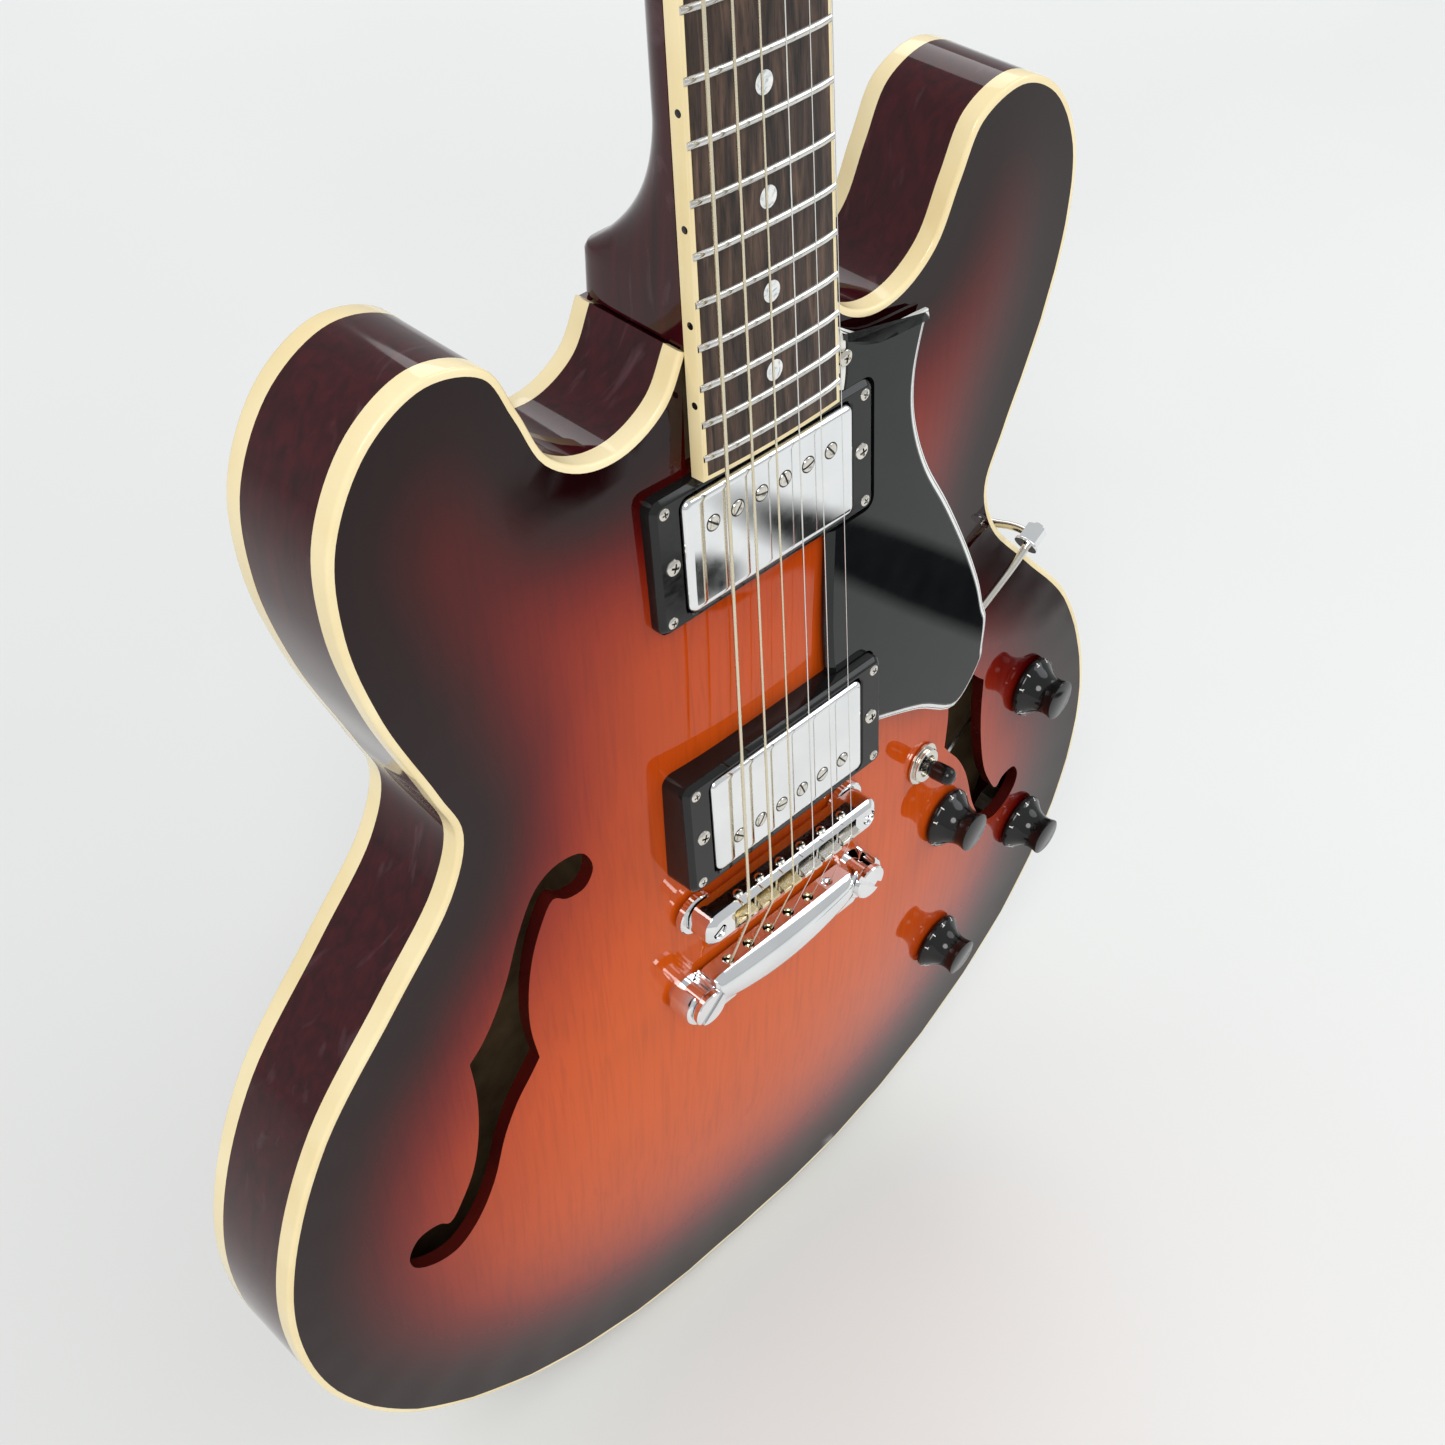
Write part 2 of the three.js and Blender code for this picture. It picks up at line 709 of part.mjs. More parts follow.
for (const [side, ownSign] of Object.entries(signs)) {
  const own = tuners.filter(({ sign }) => sign === ownSign).sort((a, b) => a.s - b.s);
  const lean = (own.at(-1).x - own[0].x) / (own.at(-1).s - own[0].s);
  const middle = (s) => own[0].x + lean * (s - own[0].s);
  const low = own[0].s - canHalf - plateOverhang;
  const high = own.at(-1).s + canHalf + plateOverhang;
  const plate = prism([
    [middle(low) - plateHalfWidth, low],
    [middle(low) + plateHalfWidth, low],
    [middle(high) + plateHalfWidth, high],
    [middle(high) - plateHalfWidth, high],
  ], -headBack, -headBack - plateThickness);
  const cans = own.map(({ x, s }) => (
    prism(rectangle(canHalf, s - canHalf, s + canHalf, x), -headBack, -headBack - canDepth)
  ));
  const bores = own.flatMap(({ x, s, sign }) => [
    prism(circle(postRadius + runningGap, x, s, 12), overrun, -postFoot - runningGap),
    rod(wormRadius + runningGap, [x, wormAxis, s], [x + sign * (canHalf + overrun), wormAxis, s]),
  ]);
  addMesh(head, `${side}_tuner_housings`, cut(join(plate, ...cans), ...bores), 'nickel');
}

// Tuner buttons on their worm shafts, and the string posts

const postHeight = 13;
const buttonGap = 9;
const buttonLength = 19;
const buttonHalfWidth = 8;
const buttonHalfThickness = 3.5;
const buttonShares = [[0, 0], [0.45, 0], [0.92, 0.35], [1, 0.65], [0.7, 1], [0, 1]];

tuners.forEach(({ x, s, sign, edge }, k) => {
  const button = new THREE.LatheGeometry(
    buttonShares.map(([r, d]) => new THREE.Vector2(r * buttonHalfWidth, d * buttonLength)),
    10,
  );
  button.scale(buttonHalfThickness / buttonHalfWidth, 1, 1);
  button.rotateZ(-sign * Math.PI / 2);
  button.translate(sign * (edge + buttonGap), wormAxis, s);
  const wormEnd = sign * (edge + buttonGap + buttonLength / 2);
  const worm = rod(wormRadius, [x + sign * runningGap, wormAxis, s], [wormEnd, wormAxis, s], 10);
  addMesh(head, `tuner_button_${stringCount - k}`, join(button, worm), 'nickel');
  const post = prism(circle(postRadius, x, s, 12), postHeight, -postFoot);
  addMesh(head, `tuner_post_${stringCount - k}`, post, 'nickel');
});

// Pickups: the rings follow the top, and the pockets leave room for the pickups' slides

const ringHalfX = 45.75;
const ringHalfZ = 22.9;
const ringCorner = 4;
const ringBevel = 2.2;
const ringBevelDepth = 1.8;
const ringFloor = 30;
const neckRingTop = -3.7;
const bridgeRingTop = 0;
const neckCoverTop = -2.2;
const bridgeCoverTop = 0.8;
const coverHalfX = 35;
const coverHalfZ = 19.25;
const coverCorner = 3;
const coverEdge = 1;
const coverDepth = 18.5;
const windowGap = 0.5;
const earHalfX = 43;
const earHalfZ = 6;
const earThickness = 1.6;
const earHoleRadius = 1.8;
const heightScrewFromCentre = 39.2;
const heightScrewRadius = 1.3;
const heightScrewHeadRadius = 2.9;
const heightScrewHeadRise = 1.1;
const heightScrewLength = 24;
const pocketGap = 1;
const pocketDepth = 25;

const ringPlan = { halfX: ringHalfX, halfZ: ringHalfZ, corner: ringCorner };
const coverPlanSize = { halfX: coverHalfX, halfZ: coverHalfZ, corner: coverCorner };
const pickups = [
  { name: 'neck_pickup', s: neckPickupAboveBridge, ringTop: neckRingTop, coverTop: neckCoverTop },
  { name: 'bridge_pickup', s: bridgePickupAboveBridge, ringTop: bridgeRingTop, coverTop: bridgeCoverTop },
];
const pickupPockets = [];

function bevelled({ halfX, halfZ, corner }, s, top, edge, edgeDepth, bottom) {
  const ring = (inset, height) => (
    roundedRectangle(halfX - inset, halfZ - inset, corner - inset / 2, s).map(([x, z]) => [x, -height, z])
  );
  return loft([ring(0, bottom), ring(0, top - edgeDepth), ring(edge, top)]);
}

for (const { name, s, ringTop, coverTop } of pickups) {
  const block = bevelled(ringPlan, s, ringTop, ringBevel, ringBevelDepth, ringTop - ringFloor);
  const opening = prism(
    roundedRectangle(coverHalfX + windowGap, coverHalfZ + windowGap, coverCorner, s),
    ringTop + overrun,
    ringTop - ringFloor - overrun,
  );
  const ring = inNeck(common(placed(cut(block, opening), neck), aboveTop(ringHalfX)));
  const screwPlaces = Object.values(signs).map((sign) => sign * heightScrewFromCentre);
  const screwAt = (x, depth) => [x, depth - ringTop, s];
  const screws = screwPlaces.flatMap((x) => [
    rod(heightScrewRadius, screwAt(x, heightScrewHeadRise / 2), screwAt(x, heightScrewLength), 6),
    rod(heightScrewHeadRadius, screwAt(x, -heightScrewHeadRise), screwAt(x, heightScrewHeadRise), 10),
  ]);
  addMesh(neck, `${name}_ring`, join(ring, ...screws), 'black');

  const bottom = coverTop - coverDepth;
  const cover = bevelled(coverPlanSize, s, coverTop, coverEdge, coverEdge, bottom);
  const ears = prism(rectangle(earHalfX, s - earHalfZ, s + earHalfZ), bottom + earThickness, bottom);
  const earHoles = screwPlaces.map((x) => (
    prism(circle(earHoleRadius, x, s, 8), bottom + overrun, bottom - overrun)
  ));
  addMesh(neck, name, cut(join(cover, ears), ...earHoles), 'chrome');

  const floor = ringTop - pocketDepth;
  const pocketX = coverHalfX + windowGap + pocketGap;
  const pocketZ = coverHalfZ + windowGap + pocketGap;
  const earPocketX = earHalfX + pocketGap / 2;
  const earPocketZ = earHalfZ + pocketGap;
  pickupPockets.push(
    placed(prism(rectangle(pocketX, s - pocketZ, s + pocketZ), tall, floor), neck),
    placed(prism(rectangle(earPocketX, s - earPocketZ, s + earPocketZ), tall, floor), neck),
  );
}

// Bridge posts with their thumbwheels

const wheelRadius = 8;
const wheelThickness = 3;
const bridgePostRadius = 2.6;
const bridgePostDepth = 16;
const bridgePostBelowTop = 0.6;
const bridgeTop = 24;
const wheelFoot = highestUnder(bridgePostFromCentre, bridgeZ, wheelRadius) + seam;
const bridgeBottom = wheelFoot + wheelThickness + seam;

for (const [side, sign] of Object.entries(signs)) {
  addMesh(guitar, `${side}_bridge_post`, turned([
    [0, -bridgePostDepth],
    [bridgePostRadius, -bridgePostDepth],
    [bridgePostRadius, wheelFoot],
    [wheelRadius, wheelFoot],
    [wheelRadius, wheelFoot + wheelThickness],
    [bridgePostRadius, wheelFoot + wheelThickness],
    [bridgePostRadius, bridgeTop - bridgePostBelowTop],
    [0, bridgeTop - bridgePostBelowTop],
  ], 16, forward, [sign * bridgePostFromCentre, frontY(0), bridgeZ]), 'chrome');
}

// Where each string crosses the bridge and the nut

const stringPlaces = stringDiameters.map((diameter, k) => {
  const share = k / (stringCount - 1) - 0.5;
  const atBridge = share * stringSpreadAtBridge;
  const atNut = share * stringSpreadAtNut;
  const outerDrop = boardDrop(stringSpreadAtBridge / 2);
  return {
    radius: diameter / 2,
    atBridge,
    atNut,
    overBridge: boardPlaneAtBridge + stringHeightAtBridge + outerDrop - boardDrop(atBridge),
    overNut: stringHeightAtNut + nutOuterDrop - boardDrop(atNut),
  };
});

// A bar along X from a section of [z above the bridge line, height] pairs

function barAlongX(section, lowX, highX) {
  return loft([lowX, highX].map((x) => section.map(([z, height]) => [x, frontY(height), bridgeZ + z])));
}

// Bridge body with a slot for each saddle

const bridgeHalfLength = 42;
const bridgeHalfWidth = 7;
const bridgeCorner = 3;
const bridgeBevel = 2.2;
const bridgeBevelDepth = 2;
const saddleHalfWidth = 4.3;
const saddleHalfThickness = 2;
const saddleTravel = 2.2;
const saddleSlotFloor = 18.6;
const saddleShoulder = 23;
const saddleEdgeHalf = 0.6;
const saddleSlotHalf = saddleHalfThickness + saddleTravel + seat;

const saddleSlots = stringPlaces.map(({ atBridge }) => slab(
  rectangle(saddleHalfWidth + runningGap, bridgeZ - saddleSlotHalf, bridgeZ + saddleSlotHalf, atBridge),
  bridgeTop + overrun,
  saddleSlotFloor,
));
const bridgePostBores = Object.values(signs).map((sign) => slab(
  circle(bridgePostRadius + runningGap, sign * bridgePostFromCentre, bridgeZ),
  bridgeTop + overrun,
  bridgeBottom - overrun,
));
const bridgeBar = common(
  barAlongX([
    [-bridgeHalfWidth, bridgeBottom],
    [bridgeHalfWidth, bridgeBottom],
    [bridgeHalfWidth, bridgeTop - bridgeBevelDepth],
    [bridgeHalfWidth - bridgeBevel, bridgeTop],
    [bridgeBevel - bridgeHalfWidth, bridgeTop],
    [-bridgeHalfWidth, bridgeTop - bridgeBevelDepth],
  ], -bridgeHalfLength, bridgeHalfLength),
  slab(roundedRectangle(bridgeHalfLength, bridgeHalfWidth, bridgeCorner, bridgeZ), tall, 0),
);
addMesh(guitar, 'bridge_body', cut(bridgeBar, ...saddleSlots, ...bridgePostBores), 'chrome');

stringPlaces.forEach(({ radius, atBridge, overBridge }, k) => {
  const top = overBridge - radius - seam;
  addMesh(guitar, `saddle_${stringCount - k}`, barAlongX([
    [-saddleHalfThickness, saddleSlotFloor + seam],
    [saddleHalfThickness, saddleSlotFloor + seam],
    [saddleHalfThickness, saddleShoulder],
    [saddleEdgeHalf, top],
    [-saddleEdgeHalf, top],
    [-saddleHalfThickness, saddleShoulder],
  ], atBridge - saddleHalfWidth, atBridge + saddleHalfWidth), 'nickel');
});

// Tailpiece studs

const earRadius = 8.7;
const earTop = 21.4;
const studHeadRadius = 7;
const studHeadHeight = 2.8;
const studNeckRadius = 4.5;
const studShankRadius = 4;
const studShankDepth = 9;
const flangeThickness = 1.8;
const tailZ = bridgeZ - tailStudBelowBridge;
const flangeFoot = highestUnder(tailStudFromCentre, tailZ, studHeadRadius) + seam;
const earBottom = flangeFoot + flangeThickness + seam;

for (const [side, sign] of Object.entries(signs)) {
  addMesh(guitar, `${side}_tailpiece_stud`, turned([
    [0, -studShankDepth],
    [studShankRadius, -studShankDepth],
    [studShankRadius, flangeFoot],
    [studHeadRadius, flangeFoot],
    [studHeadRadius, flangeFoot + flangeThickness],
    [studNeckRadius, flangeFoot + flangeThickness],
    [studNeckRadius, earTop + seam],
    [studHeadRadius, earTop + seam],
    [studHeadRadius, earTop + seam + studHeadHeight],
    [0, earTop + seam + studHeadHeight],
  ], 16, forward, [sign * tailStudFromCentre, frontY(0), tailZ]), 'chrome');
}

// Tailpiece: a rounded ridge behind a flat face with a hole for each string

const tailFace = -30.5;
const tailBack = -50;
const tailBarHalfLength = 35.5;
const tailTop = 24.2;
const tailFaceTop = 19.2;
const tailBottom = highestUnder(0, tailZ, tailBarHalfLength) + 2 * seat;
const stringHoleRadius = 2.5;
const stringHoleHeight = 16;
const stringHoleDepth = 12;
const ridgeShares = [
  [0, 0], [0.06, 0.3], [0.2, 0.76], [0.4, 1], [0.62, 0.96], [0.84, 0.62], [0.98, -0.1], [1, -0.6],
];

const tailSection = [
  [tailBack, tailBottom],
  [tailFace, tailBottom],
  ...ridgeShares.map(([z, height]) => [
    tailFace + z * (tailBack - tailFace),
    tailFaceTop + height * (tailTop - tailFaceTop),
  ]),
];
const tailBar = barAlongX(tailSection, -tailBarHalfLength, tailBarHalfLength);
const aroundStud = (radius, sign, highest, lowest) => (
  slab(circle(radius, sign * tailStudFromCentre, tailZ), highest, lowest)
);
const tailEars = Object.values(signs).flatMap((sign) => [
  aroundStud(earRadius, sign, earTop, earBottom),
  slab(
    rectangle(earRadius / 2, tailZ - earRadius, tailZ + earRadius / 2, sign * tailBarHalfLength),
    earTop,
    earBottom,
  ),
]);
const studRooms = Object.values(signs).flatMap((sign) => [
  aroundStud(studHeadRadius + runningGap, sign, tall, earTop),
  aroundStud(studNeckRadius + runningGap, sign, tall, 0),
  aroundStud(studHeadRadius + runningGap, sign, earBottom, 0),
]);
const stringHoles = stringPlaces.map(({ atBridge }) => rod(
  stringHoleRadius,
  [atBridge, frontY(stringHoleHeight), bridgeZ + tailFace + overrun],
  [atBridge, frontY(stringHoleHeight), bridgeZ + tailFace - stringHoleDepth],
  10,
));
addMesh(guitar, 'tailpiece', cut(join(tailBar, ...tailEars), ...studRooms, ...stringHoles), 'chrome');

// Strings: from a ball end in the tailpiece over saddle and nut, then wound down their posts

const ballRadius = 1.6;
const ballLength = 2.4;
const ballFromFace = 4;
const stringHeightAtTail = 17.5;
const windingStart = 7.5;
const windingTurns = 2;
const windingSteps = 12;
const windingGap = 0.5;
const headInverse = head.matrixWorld.clone().invert();

function windRoute(tuner, nutBack, radius) {
  const start = nutBack.clone().applyMatrix4(headInverse);
  const mirror = -tuner.sign;
  const reach = postRadius + radius + runningGap;
  const toPost = [mirror * (tuner.x - start.x), tuner.s - start.z];
  const heading = Math.atan2(toPost[1], toPost[0]) - Math.asin(reach / Math.hypot(...toPost));
  const points = [];
  for (let i = 0; i <= windingTurns * windingSteps; i += 1) {
    const turns = i / windingSteps;
    const angle = heading - Math.PI / 2 + 2 * Math.PI * turns;
    points.push(new THREE.Vector3(
      tuner.x + mirror * reach * Math.cos(angle),
      turns * (2 * radius + windingGap) - windingStart,
      tuner.s + reach * Math.sin(angle),
    ).applyMatrix4(head.matrixWorld));
  }
  return points;
}

let leastGap = Infinity;
stringPlaces.forEach(({ radius, atBridge, atNut, overBridge, overNut }, k) => {
  const slope = (overBridge - stringHeightAtTail) / -tailFace;
  const insideTail = (depth) => new THREE.Vector3(
    atBridge,
    frontY(stringHeightAtTail - slope * depth),
    bridgeZ + tailFace - depth,
  );
  const onNut = (s) => new THREE.Vector3(atNut, -overNut, s).applyMatrix4(neck.matrixWorld);
  const winding = windRoute(tuners[k], onNut(nutEnd), radius);
  const route = [
    insideTail(ballFromFace + ballLength),
    insideTail(ballFromFace),
    insideTail(ballFromFace - ballRadius / 2),
    new THREE.Vector3(atBridge, frontY(overBridge), bridgeZ),
    onNut(nutStart),
    onNut(nutEnd),
    ...winding,
  ];
  const radii = route.map((point, i) => (i < 2 ? ballRadius : radius));
  const string = tube(route.map((p) => p.toArray()), radii, 6);
  addMesh(guitar, `string_${stringCount - k}`, string, k < stringCount / 2 ? 'bronze' : 'steel');
  for (let i = 0; i < winding.length; i += 1) {
    for (let j = i + windingSteps / 2; j < winding.length; j += 1) {
      leastGap = Math.min(leastGap, winding[i].distanceTo(winding[j]) - 2 * radius);
    }
  }
});
console.log(`least gap between the turns of a string: ${leastGap.toFixed(2)} mm`);

// Pickguard with its screw, on a plane parallel to the board, cut out round both pickup rings

const guardUnderPlane = 4.5;
const guardThickness = 2.4;
const guardReach = 108;
const guardLength = 177.5;
const guardAboveBridge = 12.5;
const guardRingGap = 0.6;
const guardScrewFromCentre = 33.5;
const guardScrewAboveBridge = 179.9;
const guardScrewRadius = 1.4;
const guardScrewHeadRadius = 2.8;
const guardScrewHeadRise = 1.1;
const guardScrewLength = 14;
const guardShares = [
  [0.294, 1], [0.423, 0.955], [0.668, 0.939], [0.65, 0.913], [0.617, 0.84], [0.612, 0.774], [0.632, 0.707],
  [0.681, 0.626], [0.779, 0.518], [0.883, 0.387], [0.954, 0.277], [0.983, 0.209], [1, 0.179], [0.991, 0.11],
  [0.983, 0.074], [0.852, 0], [0.662, 0.062], [0.464, 0.11], [0.37, 0.13], [0.241, 0.27], [0.241, 0.66],
  [0.27, 0.84], [0.294, 0.915],
];
const guardPlan = guardShares.map(([x, z]) => [x * guardReach, guardAboveBridge + z * guardLength]);
const guardSheet = prism(guardPlan, -guardUnderPlane, -guardUnderPlane - guardThickness);
const guardCutouts = pickups.map(({ s }) => prism(
  roundedRectangle(ringHalfX + guardRingGap, ringHalfZ + guardRingGap, ringCorner, s),
  overrun,
  -overrun,
));
const guardScrewAt = (depth) => [guardScrewFromCentre, guardUnderPlane + depth, guardScrewAboveBridge];
const guardScrew = [
  rod(guardScrewHeadRadius, guardScrewAt(-guardScrewHeadRise), guardScrewAt(guardThickness / 2)),
  rod(guardScrewRadius, guardScrewAt(0), guardScrewAt(guardScrewLength), 8),
];
const guardScrewHole = placed(
  rod(guardScrewRadius + runningGap, guardScrewAt(-overrun), guardScrewAt(guardScrewLength + seam), 8),
  neck,
);
addMesh(neck, 'pickguard', join(cut(guardSheet, ...guardCutouts), ...guardScrew), 'black');

// The guard's bracket: a foot on the treble rim, and a rod with a nut over the edge to the guard's underside

const bracketRodRadius = 1.5;
const bracketFootHalfWidth = 4;
const bracketFootGap = seam + seam;
const bracketFootThickness = 1.6;
const bracketFootTop = -8;
const bracketFootBottom = -22;
const bracketStandoff = 5;
const bracketRise = 9;
const bracketNutRadius = 3.9;
const bracketNutHalf = 3.5;
const bracketUnderGuard = 10;
const bracketRodDrop = 19;

// The share of the outline's curve where the treble side, from the bottom to the horn's tip, reaches a height

const bottomShare = 0.5;
const hornRow = outlineShares.length - 1 + outlineShares.findIndex(([, share]) => share === 1);
const hornShare = hornRow / (outlineRows.length - 1);
const shareSteps = 30;

function outlineShareAt(z) {
  let low = bottomShare;
  let high = hornShare;
  for (let step = 0; step < shareSteps; step += 1) {
    const middle = (low + high) / 2;
    [low, high] = outlineCurve.getPoint(middle).z < z ? [middle, high] : [low, middle];
  }
  return low;
}

const bracketShare = outlineShareAt(bridgeZ + bracketAboveBridge);
const footPoint = outlineCurve.getPoint(bracketShare);
const alongRim = outlineCurve.getTangent(bracketShare);
const outOfRim = new THREE.Vector3(alongRim.z, 0, -alongRim.x);
const fromRim = (out, along, height) => footPoint.clone()
  .addScaledVector(outOfRim, out).addScaledVector(alongRim, along).setY(frontY(height)).toArray();
const footRing = (height) => [
  fromRim(bracketFootGap, -bracketFootHalfWidth, height),
  fromRim(bracketFootGap, bracketFootHalfWidth, height),
  fromRim(bracketFootGap + bracketFootThickness, bracketFootHalfWidth, height),
  fromRim(bracketFootGap + bracketFootThickness, -bracketFootHalfWidth, height),
];
const rodEndZ = footPoint.z - bracketRodDrop;
const rodEndHeight = boardPlaneHeight(rodEndZ) - guardUnderPlane - guardThickness - seam - bracketRodRadius;
const rodRoute = [
  fromRim(bracketFootGap + bracketRodRadius, 0, (bracketFootTop + bracketFootBottom) / 2),
  fromRim(bracketFootGap + bracketRodRadius, 0, bracketFootTop),
  fromRim(bracketStandoff, 0, 0),
  fromRim(bracketStandoff, 0, bracketRise - bracketRodRadius),
  fromRim(bracketStandoff / 2, 0, bracketRise),
  [guardReach - bracketUnderGuard, frontY(rodEndHeight), rodEndZ],
];
const nutEnds = [bracketNutHalf, -bracketNutHalf].map((out) => fromRim(bracketStandoff + out, 0, bracketRise));
addMesh(guitar, 'pickguard_bracket', join(
  loft([bracketFootTop, bracketFootBottom].map(footRing)),
  tube(rodRoute, rodRoute.map(() => bracketRodRadius), 8),
  rod(bracketNutRadius, ...nutEnds, 6),
), 'nickel');

// Knobs with their shafts, and the wired potentiometers under the top

const knobRise = 1;
const knobSkirt = 12.5;
const knobHeight = 14.5;
const knobShares = [
  [0, 0], [1, 0], [0.97, 0.16], [0.62, 0.42], [0.55, 0.62], [0.6, 0.84], [0.655, 0.97], [0, 1],
];
const shaftRadius = 3;
const shaftDepth = 9;
const potRadius = 12;
const potDepth = 10;
const potGap = 1;
const bushingRadius = 4.5;
const bushingHoleGap = 0.4;
const wireRadius = 1.3;
const canTop = -topThickness - potGap;
const knobOrder = [[0, 0], [1, 0], [0, 1], [1, 1]];
const topHoles = [];
const pots = [];
const wireEnds = [];

knobOrder.forEach(([across, down], k) => {
  const x = firstKnobFromCentre + across * knobStepAcross.x + down * knobStepDown.x;
  const z = bridgeZ - firstKnobBelowBridge + across * knobStepAcross.z + down * knobStepDown.z;
  const group = seatedGroup(x, z);
  addMesh(group, `knob_${k + 1}`, turned([
    [0, -shaftDepth],
    [shaftRadius, -shaftDepth],
    [shaftRadius, knobRise],
    ...knobShares.slice(1).map(([r, d]) => [r * knobSkirt, knobRise + d * knobHeight]),
  ]), 'black');
  pots.push(placed(turned([
    [0, canTop - potDepth],
    [potRadius, canTop - potDepth],
    [potRadius, canTop],
    [bushingRadius, canTop],
    [bushingRadius, -seam],
    [shaftRadius + runningGap, -seam],
    [shaftRadius + runningGap, -shaftDepth - seam],
    [0, -shaftDepth - seam],
  ], 12), group));
  topHoles.push(placed(rod(bushingRadius + bushingHoleGap, [0, overrun, 0], [0, -overrun, 0]), group));
  wireEnds.push(new THREE.Vector3(0, potDepth * 0.75 - canTop, 0).applyMatrix4(group.matrixWorld).toArray());
});
const wires = [[0, 1], [1, 3], [3, 2]].map(([a, b]) => rod(wireRadius, wireEnds[a], wireEnds[b], 6));
addMesh(guitar, 'control_harness', join(...pots, ...wires), 'steel');

// Selector switch and its lever

const switchBushingRadius = 5.6;
const switchBoreRadius = 4.4;
const switchBoreDepth = 12;
const washerRadius = 8.5;
const washerRise = 0.6;
const washerThickness = 0.9;
const dressNutRadius = 7;
const dressNutTop = 3.2;
const switchHalfX = 6;
const switchHalfZ = 17;
const switchDepth = 22;
const leverRadius = 1.8;
const leverPivot = 6;
const leverBallRadius = switchBoreRadius - runningGap;
const leverBallShares = [[0, -1], [0.7, -0.7], [1, 0]];
const tipRadius = 3.6;
const tipStart = 4.5;
const tipTop = 15;
const tipShares = [[0.75, 0], [1, 0.2], [1, 0.7], [0.7, 0.93], [0, 1]];

const switchGroup = seatedGroup(switchFromCentre, bridgeZ - switchBelowBridge);
const switchBody = join(
  prism(rectangle(switchHalfX, -switchHalfZ, switchHalfZ), canTop, canTop - switchDepth),
  turned([
    [0, canTop - seat],
    [switchBushingRadius, canTop - seat],
    [switchBushingRadius, washerRise],
    [washerRadius, washerRise],
    [washerRadius, washerRise + washerThickness],
    [dressNutRadius, washerRise + washerThickness],
    [dressNutRadius, dressNutTop],
    [0, dressNutTop],
  ]),
);
const switchBore = rod(switchBoreRadius, [0, switchBoreDepth, 0], [0, -overrun, 0]);
addMesh(switchGroup, 'selector_switch', cut(switchBody, switchBore), 'chrome');
addMesh(switchGroup, 'switch_lever', turned([
  ...leverBallShares.map(([r, d]) => [r * leverBallRadius, d * leverBallRadius - leverPivot]),
  [leverRadius, leverBallRadius - leverPivot],
  [leverRadius, tipStart],
  ...tipShares.map(([r, d]) => [r * tipRadius, tipStart + d * (tipTop - tipStart)]),
], 12), 'black');
topHoles.push(placed(
  rod(switchBushingRadius + bushingHoleGap, [0, overrun, 0], [0, -overrun, 0]),
  switchGroup,
));

// Output jack on the treble rim

const jackPlateHalfZ = 13;
const jackPlateHalfY = 9;
const jackPlateThickness = 1.5;
const jackNutRadius = 7;
const jackNutThickness = 2;
const jackSleeveRadius = 5;
const jackBoreRadius = 3.2;
const jackLength = 30;
const jackZ = bridgeZ - jackBelowBridge;
const jackFoot = bodyHalfWidth + seam;
const jackFace = jackFoot + jackPlateThickness;
const onJackAxis = (x) => [x, 0, jackZ];

const jackPlate = boxBetween(
  [jackFoot, -jackPlateHalfY, jackZ - jackPlateHalfZ],
  [jackFace, jackPlateHalfY, jackZ + jackPlateHalfZ],
);
const jackNut = rod(jackNutRadius, onJackAxis(jackFoot), onJackAxis(jackFace + jackNutThickness), 6);
const jackSleeve = rod(jackSleeveRadius, onJackAxis(jackFace - jackLength), onJackAxis(jackFace));
const jackBore = rod(
  jackBoreRadius,
  onJackAxis(jackFace - jackLength - overrun),
  onJackAxis(jackFace + overrun),
);
addMesh(guitar, 'output_jack', cut(join(jackPlate, jackNut, jackSleeve), jackBore), 'chrome');
const jackHole = rod(jackSleeveRadius + runningGap, onJackAxis(jackFace - jackLength), onJackAxis(jackFace));

// Sound holes, as shares of their own width and length from the inner edge and the lower end

const soundHoleFromCentre = 73;
const soundHoleBelowBridge = 95;
const soundHoleWidth = 90;
const soundHoleLength = 150;
const soundHoleShares = [
  [0.006, 0.933], [0.037, 0.985], [0.144, 0.997], [0.244, 0.962], [0.336, 0.865], [0.404, 0.767],
  [0.477, 0.685], [0.543, 0.629], [0.608, 0.591], [0.604, 0.497], [0.62, 0.388], [0.666, 0.267],
  [0.73, 0.185], [0.803, 0.125], [0.847, 0.145], [0.944, 0.14], [0.991, 0.091], [0.983, 0.053],
  [0.94, 0.023], [0.856, 0.003], [0.777, 0.011], [0.682, 0.069], [0.596, 0.167], [0.521, 0.301],
  [0.448, 0.385], [0.374, 0.443], [0.33, 0.479], [0.346, 0.574], [0.338, 0.659], [0.3, 0.767],
  [0.242, 0.853], [0.179, 0.908], [0.124, 0.888], [0.044, 0.892],
];
const soundHoles = Object.values(signs).map((sign) => slab(
  soundHoleShares.map(([x, z]) => [
    sign * (soundHoleFromCentre + x * soundHoleWidth),
    bridgeZ - soundHoleBelowBridge + z * soundHoleLength,
  ]),
  tall,
  -rimDepth / 2,
));

// Top plate

